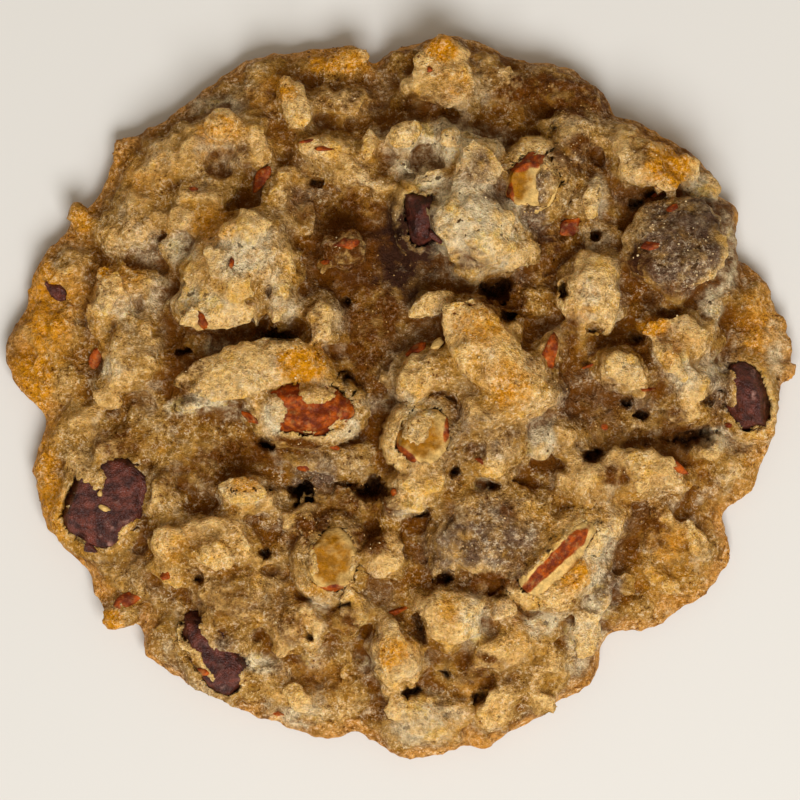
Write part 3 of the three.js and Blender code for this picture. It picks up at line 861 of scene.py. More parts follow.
class Wiring:
    """A node tree in the making."""

    def __init__(self, tree: bpy.types.NodeTree) -> None:
        """Takes the tree that the nodes go into."""
        self.tree = tree

    def add(self, kind: str, inputs: dict[str | int, Value], **settings: object) -> bpy.types.Node:
        """Adds a node.

        Args:
            kind: The node's type.
            inputs: A value or another node's output for each input, by its name or number.
            settings: The node's own settings.

        Returns:
            The node.
        """
        node = self.tree.nodes.new(kind)
        for name, setting in settings.items():
            setattr(node, name, setting)
        for key, value in inputs.items():
            if isinstance(value, bpy.types.NodeSocket):
                self.tree.links.new(value, node.inputs[key])
            else:
                node.inputs[key].default_value = value
        return node

    def link(self, values: dict[str, bpy.types.NodeSocket], node: bpy.types.Node) -> None:
        """Leads outputs to the inputs of a node, by their names."""
        for name, value in values.items():
            self.tree.links.new(value, node.inputs[name])

    def place_in_mm(self) -> bpy.types.NodeSocket:
        """The place on the cookie, in millimetres."""
        place_in_metres = self.add("ShaderNodeTexCoord", {}).outputs["Object"]
        return self.scaled(place_in_metres, 1 / MM)

    def place_in_steps(self, step: bpy.types.NodeSocket) -> bpy.types.NodeSocket:
        """The place on the cookie, in steps of so many millimetres."""
        return self.scaled(self.place_in_mm(), self.math("DIVIDE", 1.0, step))

    def scaled(self, vector: bpy.types.NodeSocket, factor: Value) -> bpy.types.NodeSocket:
        """A vector times a number."""
        node = self.add("ShaderNodeVectorMath", {0: vector, "Scale": factor}, operation="SCALE")
        return node.outputs[0]

    def math(self, operation: str, first: Value, second: Value) -> bpy.types.NodeSocket:
        """One step of arithmetic."""
        return self.add("ShaderNodeMath", {0: first, 1: second}, operation=operation).outputs[0]

    def noise(self, where: bpy.types.NodeSocket, mottle: Mottle) -> bpy.types.NodeSocket:
        """Noise from 0 to 1.

        Args:
            where: The place on the surface.
            mottle: What the noise is like.

        Returns:
            The noise's output.
        """
        inputs = {
            "Vector": where,
            "Scale": 1 / mottle.pitch,
            "Detail": mottle.detail,
            "Roughness": mottle.rough,
        }
        return self.add("ShaderNodeTexNoise", inputs).outputs[0]

    def ramp(self, value: Value, span: Ramp, ends: Ends = (0.0, 1.0)) -> bpy.types.NodeSocket:
        """A smooth ramp between two numbers.

        Args:
            value: The number to put on the ramp.
            span: Where the ramp starts and ends.
            ends: What it gives up to its start and from its end on.

        Returns:
            The ramp's output.
        """
        inputs = {
            "Value": value,
            "From Min": span.start,
            "From Max": span.end,
            "To Min": ends[0],
            "To Max": ends[1],
        }
        return self.add("ShaderNodeMapRange", inputs, interpolation_type="SMOOTHSTEP").outputs[0]

    def mix(self, amount: Value, first: Value, second: Value, blend: str = "MIX") -> bpy.types.NodeSocket:
        """The first colour with an amount of the second laid over it."""
        inputs = {MIX_AMOUNT: amount, MIX_FIRST: first, MIX_SECOND: second}
        return self.add("ShaderNodeMix", inputs, data_type="RGBA", blend_type=blend).outputs[MIX_RESULT]

    def mask(self, name: Mask) -> bpy.types.NodeSocket:
        """A number that the mesh keeps for each corner."""
        return self.add("ShaderNodeAttribute", {}, attribute_name=name.value).outputs["Fac"]

    def group(self, tree: bpy.types.NodeTree, inputs: dict[str | int, Value]) -> bpy.types.Node:
        """Places a node group, with its own values."""
        return self.add("ShaderNodeGroup", inputs, node_tree=tree)

    def bump(self, height: Value, depth: float) -> bpy.types.NodeSocket:
        """The normal of a surface with fine relief that is `depth` millimetres deep."""
        return self.add("ShaderNodeBump", {"Height": height, "Distance": depth * MM}).outputs[0]


NUMBER = "NodeSocketFloat"
COLOUR = "NodeSocketColor"


def new_group(
    name: str, inputs: dict[str, str], outputs: dict[str, str]
) -> tuple[Wiring, bpy.types.Node, bpy.types.Node]:
    """Starts a node group.

    Args:
        name: The group's name.
        inputs: The socket type of each input, by its name.
        outputs: The socket type of each output, by its name.

    Returns:
        The group's wiring, its input node and its output node.
    """
    tree = bpy.data.node_groups.new(name, "ShaderNodeTree")
    for way, sockets in (("INPUT", inputs), ("OUTPUT", outputs)):
        for socket, kind in sockets.items():
            tree.interface.new_socket(socket, in_out=way, socket_type=kind)
    wiring = Wiring(tree)
    return wiring, wiring.add("NodeGroupInput", {}), wiring.add("NodeGroupOutput", {})


@dataclass
class Effects:
    """The effects that several finishes share, as node groups, with noise in steps of a grain or patch."""

    tone: Mottle = Mottle(3.0, 4.0)
    tone_height: float = 0.5
    fine: Mottle = Mottle(2.4, 3.0, 0.9)
    grains: Ramp = Ramp(0.52, 0.66)
    gaps: Ramp = Ramp(0.42, 0.31)
    light: Ramp = Ramp(0.36, 0.64)
    light_ends: Ends = (0.68, 1.36)
    pores: Mottle = Mottle(4.4)
    pore_edge: Ramp = Ramp(0.63, 0.69)
    patches: Mottle = Mottle(1.0, 3.0)
    patch_span: Ramp = Ramp(0.3, 0.7)
    patch_ends: Ends = (-0.7, 0.7)
    patch_edge: Ramp = Ramp(0.05, 1.0)
    crumb: bpy.types.NodeTree = field(init=False)
    patchy: bpy.types.NodeTree = field(init=False)

    def __post_init__(self) -> None:
        """Builds each group once."""
        self.crumb = self.crumb_grain()
        self.patchy = self.patchy_tint()

    def crumb_grain(self) -> bpy.types.NodeTree:
        """Baked crumb: soft mottling, bright grains with dark gaps between them, pores and their relief.

        Returns:
            The node group.
        """
        outputs = dict.fromkeys(("Tone", "Grains", "Gaps", "Light", "Pores", "Height"), NUMBER)
        wiring, given, made = new_group("crumb_grain", {"Grain": NUMBER}, outputs)
        where = wiring.place_in_steps(given.outputs["Grain"])
        tone = wiring.noise(where, self.tone)
        fine = wiring.noise(where, self.fine)
        values = {
            "Tone": tone,
            # The bright grains, which the dough paints partly as glints of light.
            "Grains": wiring.ramp(fine, self.grains),
            "Gaps": wiring.ramp(fine, self.gaps),
            "Light": wiring.ramp(fine, self.light, self.light_ends),
            "Pores": wiring.ramp(wiring.noise(where, self.pores), self.pore_edge),
            "Height": wiring.math("ADD", wiring.math("MULTIPLY", tone, self.tone_height), fine),
        }
        wiring.link(values, made)
        return wiring.tree

    def patchy_tint(self) -> bpy.types.NodeTree:
        """A tint that lies on a colour in patches, with broken edges.

        Returns:
            The node group.
        """
        sockets = {"Base": COLOUR, "Tint": COLOUR, "Amount": NUMBER, "Patch": NUMBER, "Break": NUMBER}
        wiring, given, made = new_group("patchy_tint", sockets, {"Color": COLOUR})
        where = wiring.place_in_steps(given.outputs["Patch"])
        uneven = wiring.ramp(wiring.noise(where, self.patches), self.patch_span, self.patch_ends)
        share = wiring.math("ADD", 1.0, wiring.math("MULTIPLY", uneven, given.outputs["Break"]))
        amount = wiring.ramp(wiring.math("MULTIPLY", given.outputs["Amount"], share), self.patch_edge)
        wiring.link({"Color": wiring.mix(amount, given.outputs["Base"], given.outputs["Tint"])}, made)
        return wiring.tree


def new_finish(name: str) -> tuple[bpy.types.Material, Wiring, bpy.types.Node]:
    """Starts a material.

    Args:
        name: The material's name.

    Returns:
        The material, its wiring and its shader.
    """
    material = bpy.data.materials.new(name)
    material.use_nodes = True
    wiring = Wiring(material.node_tree)
    return material, wiring, material.node_tree.nodes["Principled BSDF"]


@dataclass(frozen=True)
class Layer:
    """A tint over a colour: where the mesh has it, its patches' size and how broken their edges are."""

    tint: Value
    mask: Mask
    patch: float
    broken: float


TONE_SPAN = Ramp(0.3, 0.7)  # where the crumb's soft mottling goes from dark to light


@dataclass(frozen=True)
class Finish:
    """What the finishes share: a colour of their own over baked crumb, with its gloss and fine relief."""

    name: str
    grain: float
    relief: float
    shade: Ends
    roughness: Ends
    specular: float

    def material(self, effects: Effects) -> bpy.types.Material:
        """Wires the finish.

        Args:
            effects: The shared effects.

        Returns:
            The material.
        """
        material, wiring, shader = new_finish(self.name)
        crumb = wiring.group(effects.crumb, {"Grain": self.grain})
        values = {
            "Base Color": self.coloured(wiring, crumb, effects),
            "Roughness": wiring.ramp(crumb.outputs["Tone"], TONE_SPAN, self.roughness),
            "Normal": wiring.bump(crumb.outputs["Height"], self.relief),
        }
        wiring.link(values, shader)
        shader.inputs["Specular IOR Level"].default_value = self.specular
        return material

    def coloured(self, wiring: Wiring, crumb: bpy.types.Node, effects: Effects) -> bpy.types.NodeSocket:
        """The finish's colour, which each finish makes in its own way.

        Args:
            wiring: The material's wiring.
            crumb: Its baked crumb.
            effects: The shared effects.

        Returns:
            The colour.
        """
        raise NotImplementedError

    def shaded(self, wiring: Wiring, crumb: bpy.types.Node, colour: Value) -> bpy.types.NodeSocket:
        """A colour with the crumb's soft mottling on it."""
        shade = wiring.ramp(crumb.outputs["Tone"], TONE_SPAN, self.shade)
        return wiring.mix(1.0, colour, shade, "MULTIPLY")

    @staticmethod
    def layered(wiring: Wiring, effects: Effects, colour: Value, layers: tuple[Layer, ...]) -> Value:
        """Lays tints over a colour, one after the other.

        Args:
            wiring: The material's wiring.
            effects: The shared effects.
            colour: The colour to start with.
            layers: The tints.

        Returns:
            The tinted colour.
        """
        for layer in layers:
            inputs = {
                "Base": colour,
                "Tint": layer.tint,
                "Amount": wiring.mask(layer.mask),
                "Patch": layer.patch,
                "Break": layer.broken,
            }
            colour = wiring.group(effects.patchy, inputs).outputs["Color"]
        return colour


@dataclass(frozen=True)
class DoughFinish(Finish):
    """Baked dough: tan crumb, pale and toasted on its lumps and brown between them, with painted light on
    the lumps and painted shade between them.
    """

    name: str = "baked_dough"
    grain: float = 0.26
    relief: float = 0.74
    shade: Ends = (0.74, 1.1)
    roughness: Ends = (0.62, 0.36)
    specular: float = 0.07
    tan: Colour = srgb(186, 138, 62)
    # Painted shade: the tan where the dough lies low.
    shaded_tan: Colour = srgb(134, 82, 10)
    # Painted light: the golden where the dough stands out.
    golden: Colour = srgb(236, 184, 106)
    ashen: Colour = srgb(176, 146, 102)
    # Pale dough, and painted light on some lumps.
    pale: Colour = srgb(242, 218, 172)
    toasted: Colour = srgb(230, 152, 10)
    # The oven's brown, and painted shade in folds and valleys.
    brown: Colour = srgb(110, 60, 4)
    grey: Colour = srgb(124, 94, 70)
    # Chocolate under thin dough, and painted shade.
    dark: Colour = srgb(66, 38, 24)
    # Painted shade: the near black of holes.
    hole: Colour = srgb(30, 14, 6)
    pore: Colour = srgb(70, 44, 14)
    yellowed: Colour = srgb(255, 240, 170)
    creamy: Colour = srgb(232, 206, 164)
    # Painted light on the crests of the dough.
    edge: Colour = srgb(250, 203, 126)
    gap: Colour = srgb(150, 92, 36)
    # Cream grains of crumb, partly painted glints.
    cream_grain_and_glint: Colour = srgb(255, 236, 200)
    # The rim's baked orange, made lighter as a painted glow through the thin edge.
    rim: Colour = srgb(222, 158, 78)
    honey: Colour = srgb(210, 150, 64)
    underside: Colour = srgb(150, 92, 40)
    uneven: Mottle = Mottle(2.6, 3.0)
    uneven_span: Ramp = Ramp(0.3, 0.7)
    uneven_ends: Ends = (-0.16, 0.16)
    shaded_tan_stand: Ramp = Ramp(0.1, 0.5)
    lit_golden_stand: Ramp = Ramp(0.45, 0.9)
    hue: Mottle = Mottle(3.4, 4.0, 0.7)
    yellow_hue: Ramp = Ramp(0.48, 0.36)
    yellow_ends: Ends = (0.0, 0.8)
    creamy_hue: Ramp = Ramp(0.54, 0.68)
    creamy_ends: Ends = (0.0, 0.4)
    coarse: Mottle = Mottle(4.6)
    coarse_span: Ramp = Ramp(0.38, 0.6)
    coarse_ends: Ends = (0.45, 1.0)
    tinted: Ramp = Ramp(0.1, 0.8)
    pale_gaps: Ends = (1.0, 0.35)
    brown_grains: Ends = (0.6, 0.2)
    glow: float = 0.15
    glow_colours: tuple[float, float, float] = (1.0, 0.55, 0.25)
    glow_depth: float = 0.9

    def material(self, effects: Effects) -> bpy.types.Material:
        """Wires the finish, and lets some light through the dough.

        Args:
            effects: The shared effects.

        Returns:
            The material.
        """
        material = super().material(effects)
        shader = material.node_tree.nodes["Principled BSDF"]
        shader.inputs["Subsurface Weight"].default_value = self.glow
        shader.inputs["Subsurface Radius"].default_value = self.glow_colours
        shader.inputs["Subsurface Scale"].default_value = self.glow_depth * MM
        return material

    def coloured(self, wiring: Wiring, crumb: bpy.types.Node, effects: Effects) -> bpy.types.NodeSocket:
        """Baked crust, with crumb on it, painted shade in its folds and holes, and the underside's own
        colour.

        Args:
            wiring: The material's wiring.
            crumb: Its baked crumb.
            effects: The shared effects.

        Returns:
            The colour.
        """
        where = wiring.place_in_mm()
        colour = self.shaded(wiring, crumb, self.baked(wiring, effects, where))
        # Painted shade in folds, dark places and holes, then the underside's own baked brown.
        shade_and_underside = (
            Layer(self.brown, Mark.FOLD_SHADE, 1.2, 0.7),
            Layer(self.dark, Tint.DARK_AND_SHADE, 1.6, 0.6),
            Layer(self.hole, Mark.HOLE_SHADE, 0.6, 0.4),
            Layer(self.underside, Mark.UNDERSIDE, 4.0, 0.3),
        )
        return self.layered(wiring, effects, self.crumbly(wiring, crumb, where, colour), shade_and_underside)

    def baked(self, wiring: Wiring, effects: Effects, where: bpy.types.NodeSocket) -> bpy.types.NodeSocket:
        """The crust's colour: lighter where it stands out as painted light, darker where it lies low as
        painted shade, with the tints that the oven left.

        Args:
            wiring: The material's wiring.
            effects: The shared effects.
            where: The place on the cookie.

        Returns:
            The colour.
        """
        uneven = wiring.ramp(wiring.noise(where, self.uneven), self.uneven_span, self.uneven_ends)
        # Painted shade where the dough lies low, painted light where it stands out.
        stand = wiring.math("ADD", wiring.mask(Mark.STAND_LIGHT_AND_SHADE), uneven)
        colour = wiring.mix(wiring.ramp(stand, self.shaded_tan_stand), self.shaded_tan, self.tan)
        colour = wiring.mix(wiring.ramp(stand, self.lit_golden_stand), colour, self.golden)
        colour = wiring.mix(wiring.mask(Mark.ASHEN), colour, self.ashen)
        # The rim layer is partly a painted glow, the pale layer partly painted light, and the edge layer
        # painted light.
        crust = (
            Layer(self.rim, Mark.RIM, 2.5, 0.8),
            Layer(self.honey, Tint.GOLDEN, 2.0, 0.7),
            Layer(self.pale, Tint.PALE_AND_LIT, 1.6, 0.7),
            Layer(self.edge, Mark.LIT_EDGE, 1.0, 0.7),
            Layer(self.grey, Tint.GREY, 2.0, 0.6),
        )
        colour = self.layered(wiring, effects, colour, crust)
        hue = wiring.noise(where, self.hue)
        yellow = wiring.ramp(hue, self.yellow_hue, self.yellow_ends)
        colour = wiring.mix(yellow, colour, self.yellowed, "MULTIPLY")
        colour = wiring.mix(wiring.ramp(hue, self.creamy_hue, self.creamy_ends), colour, self.creamy)
        # The brown layer is partly painted shade in valleys.
        oven = (Layer(self.toasted, Tint.TOASTED, 0.9, 0.6), Layer(self.brown, Tint.BROWN_AND_SHADE, 1.6, 0.7))
        return self.layered(wiring, effects, colour, oven)

    def crumbly(
        self, wiring: Wiring, crumb: bpy.types.Node, where: bpy.types.NodeSocket, colour: Value
    ) -> bpy.types.NodeSocket:
        """A colour with grains, gaps and pores: weaker gaps on pale dough, and weaker grains on brown. The
        cream grains are partly painted glints.

        Args:
            wiring: The material's wiring.
            crumb: Its baked crumb.
            where: The place on the cookie.
            colour: The colour without them.

        Returns:
            The colour with them.
        """
        coarse = wiring.ramp(wiring.noise(where, self.coarse), self.coarse_span, self.coarse_ends)
        colour = wiring.mix(coarse, colour, crumb.outputs["Light"], "MULTIPLY")
        pale = wiring.mask(Tint.PALE_AND_LIT)
        rugged = wiring.math("MULTIPLY", coarse, wiring.ramp(pale, self.tinted, self.pale_gaps))
        gaps = wiring.math("MULTIPLY", crumb.outputs["Gaps"], rugged)
        colour = wiring.mix(gaps, colour, self.gap, "MULTIPLY")
        brown = wiring.ramp(wiring.mask(Tint.BROWN_AND_SHADE), self.tinted, self.brown_grains)
        grains = wiring.math("MULTIPLY", crumb.outputs["Grains"], wiring.math("MULTIPLY", coarse, brown))
        # Cream grains, partly painted glints of light.
        colour = wiring.mix(grains, colour, self.cream_grain_and_glint)
        porous = wiring.math("MAXIMUM", pale, wiring.mask(Tint.GREY))
        return wiring.mix(wiring.math("MULTIPLY", crumb.outputs["Pores"], porous), colour, self.pore)


@dataclass(frozen=True)
class ChocolateFinish(Finish):
    """Dark chocolate that melted and set again: maroon brown, satin, with a faint bloom."""

    name: str = "dark_chocolate"
    grain: float = 0.36
    relief: float = 0.5
    shade: Ends = (0.55, 1.35)
    roughness: Ends = (0.5, 0.25)
    specular: float = 0.35
    body: Colour = srgb(58, 20, 13)
    light: Colour = srgb(108, 52, 38)
    bloom: Colour = srgb(150, 108, 94)
    melted: Mottle = Mottle(1.4, 4.0)
    melted_span: Ramp = Ramp(0.35, 0.7)

    def coloured(self, wiring: Wiring, crumb: bpy.types.Node, effects: Effects) -> bpy.types.NodeSocket:
        """Dark and lighter brown, with the bloom on it.

        Args:
            wiring: The material's wiring.
            crumb: Its baked crumb.
            effects: The shared effects.

        Returns:
            The colour.
        """
        melted = wiring.ramp(wiring.noise(wiring.place_in_mm(), self.melted), self.melted_span)
        colour = wiring.mix(melted, self.body, self.light)
        colour = self.layered(wiring, effects, colour, (Layer(self.bloom, Mark.BLOOM, 0.6, 1.0),))
        return self.shaded(wiring, crumb, colour)


@dataclass(frozen=True)
class PecanFinish(Finish):
    """Broken pecan: red-brown skin, and cream flesh that the oven turned amber."""

    name: str = "pecan"
    grain: float = 0.3
    relief: float = 0.24
    shade: Ends = (0.66, 1.2)
    roughness: Ends = (0.5, 0.28)
    specular: float = 0.12
    skin: Colour = srgb(184, 84, 12)
    dark_skin: Colour = srgb(112, 42, 12)
    cream: Colour = srgb(222, 182, 108)
    amber: Colour = srgb(158, 102, 0)
    gap: Colour = srgb(176, 120, 70)
    gap_share: float = 0.4
    streaks: Mottle = Mottle(1.1, 4.0)
    streak_span: Ramp = Ramp(0.3, 0.62)

    def coloured(self, wiring: Wiring, crumb: bpy.types.Node, effects: Effects) -> bpy.types.NodeSocket:
        """Cream flesh, with its amber and its streaked skin.

        Args:
            wiring: The material's wiring.
            crumb: Its baked crumb.
            effects: The shared effects.

        Returns:
            The colour.
        """
        streaks = wiring.ramp(wiring.noise(wiring.place_in_mm(), self.streaks), self.streak_span)
        skin = wiring.mix(streaks, self.skin, self.dark_skin)
        layers = (Layer(self.amber, Mark.AMBER, 1.6, 0.5), Layer(skin, Mark.SKIN, 0.8, 0.4))
        colour = self.shaded(wiring, crumb, self.layered(wiring, effects, self.cream, layers))
        gaps = wiring.math("MULTIPLY", crumb.outputs["Gaps"], self.gap_share)
        return wiring.mix(gaps, colour, self.gap, "MULTIPLY")


@dataclass(frozen=True)
class CrumbFinish(Finish):
    """Loose crumbs and sugar grains, from cream to brown: lighter on lumps and browner in hollows, as
    painted light and shade.
    """

    name: str = "loose_crumb"
    grain: float = 0.16
    relief: float = 0.06
    shade: Ends = (0.8, 1.15)
    roughness: Ends = (0.65, 0.4)
    specular: float = 0.5
    cream: Colour = srgb(232, 206, 156)
    golden: Colour = srgb(200, 150, 80)
    brown: Colour = srgb(120, 74, 28)
    golden_tone: Ramp = Ramp(0.0, 0.5)
    cream_tone: Ramp = Ramp(0.5, 1.0)

    def coloured(self, wiring: Wiring, crumb: bpy.types.Node, effects: Effects) -> bpy.types.NodeSocket:
        """Each crumb's tone, which carries the painted light and shade of the dough under it.

        Args:
            wiring: The material's wiring.
            crumb: Its baked crumb.
            effects: The shared effects. Not used.

        Returns:
            The colour.
        """
        tone = wiring.mask(Mark.TONE)
        colour = wiring.mix(wiring.ramp(tone, self.golden_tone), self.brown, self.golden)
        colour = wiring.mix(wiring.ramp(tone, self.cream_tone), colour, self.cream)
        return self.shaded(wiring, crumb, colour)


# Dough

CHIP_COUNT = 4
PECAN_COUNT = 5
CHIP_NODES = tuple(f"chocolate_chip_{number}" for number in range(1, CHIP_COUNT + 1))
PECAN_NODES = tuple(f"pecan_piece_{number}" for number in range(1, PECAN_COUNT + 1))

GRID_STEP = 0.5
GRID_HALF = 100  # cells from the cookie's middle to the side of the grid
TOP_FACING = 0.05  # corners that face up by more than this belong to the top
LEAST_COUNT = 1e-3  # keeps places without corners from dividing by nothing

HOLLOW_TEARS = (Waves(0.5, 1.3, 6.0), Waves(0.35, 0.6, 2.0))


def mean_height(corners: np.ndarray, facing: np.ndarray, reach: float) -> np.ndarray:
    """The mean height of the top around each corner.

    Args:
        corners: The dough's corners.
        facing: How far each corner faces up.
        reach: How far around, in millimetres.

    Returns:
        The height around each corner.
    """
    side = 2 * GRID_HALF
    at = corners[:, :2] / GRID_STEP + GRID_HALF
    top = facing > TOP_FACING
    nearest = tuple(np.round(at[top]).astype(int).T)
    counts = np.zeros((side, side))
    np.add.at(counts, nearest, 1.0)
    sums = np.zeros((side, side))
    np.add.at(sums, nearest, corners[top, 2])
    turns = np.fft.fftfreq(side, GRID_STEP)
    blur = np.exp(-2 * (math.pi * reach * turns) ** 2)
    spread = [np.fft.ifft2(np.fft.fft2(grid) * blur[:, None] * blur).real for grid in (sums, counts)]
    mean = spread[0] / np.maximum(spread[1], LEAST_COUNT)
    cells = np.floor(at).astype(int)
    left, below = cells.T
    right, up = (at - cells).T
    low = mean[left, below] * (1 - right) + mean[left + 1, below] * right
    high = mean[left, below + 1] * (1 - right) + mean[left + 1, below + 1] * right
    return low * (1 - up) + high * up


def torn(corners: np.ndarray) -> np.ndarray:
    """How uneven the edge of a hollow is at each corner, seen from above."""
    return rough(corners * PLAN, HOLLOW_TEARS, 1.0)


@dataclass(frozen=True)
class Toppings:
    """The oat flakes and clumps that stand in the dough: the ones listed, and many by chance."""

    spread: tuple[float, float] = (47.0, 44.0)  # the farthest that chance places go in X and Y
    least_facing: float = 0.15
    upright: float = 0.35
    flakes: int = 60
    flake_detail: int = 3
    flake_size: tuple[float, float, float] = (2.4, 1.6, 0.5)
    flake_scale: Ends = (0.65, 1.2)
    flake_dents: tuple[float, float] = (0.2, 0.7)  # height and pitch, on a ball of radius 1
    crease_depth: float = 0.35
    crease_width: float = 0.22
    flake_bend: Ends = (-0.5, 0.9)
    flake_tilt: Ends = (-0.5, 0.5)
    flake_rise: Ends = (0.0, 0.4)
    clumps: int = 420
    clump_detail: int = 2
    clump_size: Ends = (0.3, 1.0)
    clump_least: tuple[float, float, float] = (0.8, 0.8, 0.5)
    clump_most: tuple[float, float, float] = (1.3, 1.1, 0.9)
    clump_dents: tuple[float, float] = (0.35, 0.8)
    clump_sink: Ends = (0.1, 0.5)
    seed: int = 11

    def shells(self, ground: BVHTree) -> list[Shell]:
        """Builds them over the top.

        Args:
            ground: The dough that they stand in.

        Returns:
            A closed skin for each.
        """
        draw = np.random.default_rng(self.seed)
        flake_ball = Shell.of_ball(self.flake_detail)
        clump_ball = Shell.of_ball(self.clump_detail)
        shells = [lying(flake, ground, flake_ball) for flake in FLAKES]
        known = len(shells)
        half = np.array(self.spread)
        while len(shells) < known + self.flakes + self.clumps:
            x, y = draw.uniform(-half, half)
            hit, normal, _, _ = ground.ray_cast(Vector((x, y, SKY)), DOWN)
            if hit is None or normal.z < self.least_facing:
                continue
            facing = normal.lerp(UP, self.upright).normalized()
            if len(shells) < known + self.flakes:
                shells.append(self.flake(flake_ball, hit, facing, draw))
            else:
                shells.append(self.clump(clump_ball, hit, facing, draw))
        return shells

    def flake(self, ball: Shell, at: Vector, facing: Vector, draw: np.random.Generator) -> Shell:
        """A rolled oat, bent and creased, lying on the dough.

        Args:
            ball: The ball that it is shaped from.
            at: Where it lies.
            facing: The way its face looks.
            draw: The source of its chance sizes.

        Returns:
            Its skin.
        """
        size = np.array(self.flake_size) * draw.uniform(*self.flake_scale, 3)
        corners = self.dented(ball, self.flake_dents, draw)
        crease = self.crease_depth * np.exp(-((corners[:, 1] / self.crease_width) ** 2))
        bend = draw.uniform(*self.flake_bend) * corners[:, 0] ** 2
        corners = corners * size
        corners[:, 2] += bend - crease * size[2]
        tilt = Quaternion((1, 0, 0), draw.uniform(*self.flake_tilt))
        turn = Quaternion((0, 0, 1), draw.uniform(0, FULL_TURN))
        pose = facing.to_track_quat("Z", "Y") @ turn @ tilt
        middle = at + facing * draw.uniform(*self.flake_rise)
        return Shell(posed(corners, pose, middle), ball.triangles)

    def clump(self, ball: Shell, at: Vector, facing: Vector, draw: np.random.Generator) -> Shell:
        """A small clump of crumb, half sunk in the dough.

        Args:
            ball: The ball that it is shaped from.
            at: Where it stands.
            facing: The way that it stands out.
            draw: The source of its chance sizes.

        Returns:
            Its skin.
        """
        least, most = self.clump_size
        reach = least + (most - least) * draw.uniform() ** 2
        size = reach * draw.uniform(self.clump_least, self.clump_most)
        corners = self.dented(ball, self.clump_dents, draw) * size
        turn = Quaternion((0, 0, 1), draw.uniform(0, FULL_TURN))
        pose = facing.to_track_quat("Z", "Y") @ turn
        middle = at - facing * reach * draw.uniform(*self.clump_sink)
        return Shell(posed(corners, pose, middle), ball.triangles)

    @staticmethod
    def dented(ball: Shell, dents: tuple[float, float], draw: np.random.Generator) -> np.ndarray:
        """The corners of a ball with dents of a given height and pitch."""
        waves = Waves(*dents, draw.uniform(0, MOST_SEED))
        return ball.corners * rough(ball.corners, (waves,), 1.0)[:, None]


@dataclass(frozen=True)
class Bedding:
    """How the dough lies around the chips and pecans that are bedded in it."""

    clearance: float = 0.22
    smear_cover: float = 0.2
    smear_reach: float = 2.0
    tears: tuple[Waves, ...] = (Waves(0.32, 2.0), Waves(0.14, 0.8, 3.0))
    least_facing: float = 0.1
    reaches: tuple[float, ...] = (0.6, 1.2, 1.9)
    turns: int = 10
    drop: float = 0.25
    slope: float = 0.6

    def fit(self, mesh: bpy.types.Mesh, solid: BVHTree, bedded: Shell, lip_slope: float) -> None:
        """Keeps the dough under a bedded piece where the piece shows, and draws it up around it.

        Args:
            mesh: The dough.
            solid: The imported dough, which has a pocket for each piece.
            bedded: The piece.
            lip_slope: How far its side may face up and still be hidden by the dough.
        """
        corners = coordinates(mesh)
        chosen = self.around(corners, bedded)
        near = corners[chosen]
        facing = corner_normals(mesh)[chosen, 2]
        tree = bedded.tree()
        tops, slopes = seen_from_above(tree, near)
        shown = np.isfinite(tops) & (tops > seen_from_above(solid, near)[0])
        ragged = rough(near * PLAN, self.tears)
        lip = shown & (slopes + ragged < lip_slope)
        beside = (lip | ~np.isfinite(tops)) & (facing > self.least_facing)
        drawn = self.drawn_up(near[beside], tree) + ragged[beside]
        near[beside, 2] = np.maximum(near[beside, 2], drawn)
        smeared = np.zeros(len(near), dtype=bool)
        for smear in SMEARS:
            smeared |= smear.away(near) + ragged < 1.0
        bare = shown & ~lip & ~smeared
        near[bare, 2] = np.minimum(near[bare, 2], tops[bare] - self.clearance)
        smeared &= shown & ~lip & (facing > 0.0) & (near[:, 2] > tops - self.smear_reach)
        near[smeared, 2] = np.maximum(near[smeared, 2], tops[smeared] + self.smear_cover)
        corners[chosen] = near
        set_coordinates(mesh, corners)

    def around(self, corners: np.ndarray, bedded: Shell) -> np.ndarray:
        """Which corners of the dough are above, below or close beside a bedded piece.

        Args:
            corners: The dough's corners.
            bedded: The piece.

        Returns:
            The numbers of those corners.
        """
        reach = max(self.reaches)
        low = bedded.corners.min(axis=0) - reach
        high = bedded.corners.max(axis=0) + reach
        inside = (corners[:, :2] > low[:2]) & (corners[:, :2] < high[:2])
        return np.flatnonzero(inside.all(axis=1))

    def drawn_up(self, corners: np.ndarray, bedded: BVHTree) -> np.ndarray:
        """How high the dough is drawn up around a bedded piece.

        Args:
            corners: Places on the dough beside the piece.
            bedded: The piece.

        Returns:
            The height at each place, or minus infinity where the piece is far.
        """
        heights = np.full(len(corners), -math.inf)
        for reach in self.reaches:
            for turn in np.linspace(0, FULL_TURN, self.turns, endpoint=False):
                beside = corners + reach * np.array((math.cos(turn), math.sin(turn), 0.0))
                tops = seen_from_above(bedded, beside)[0]
                heights = np.maximum(heights, tops - self.drop - self.slope * reach)
        return heights


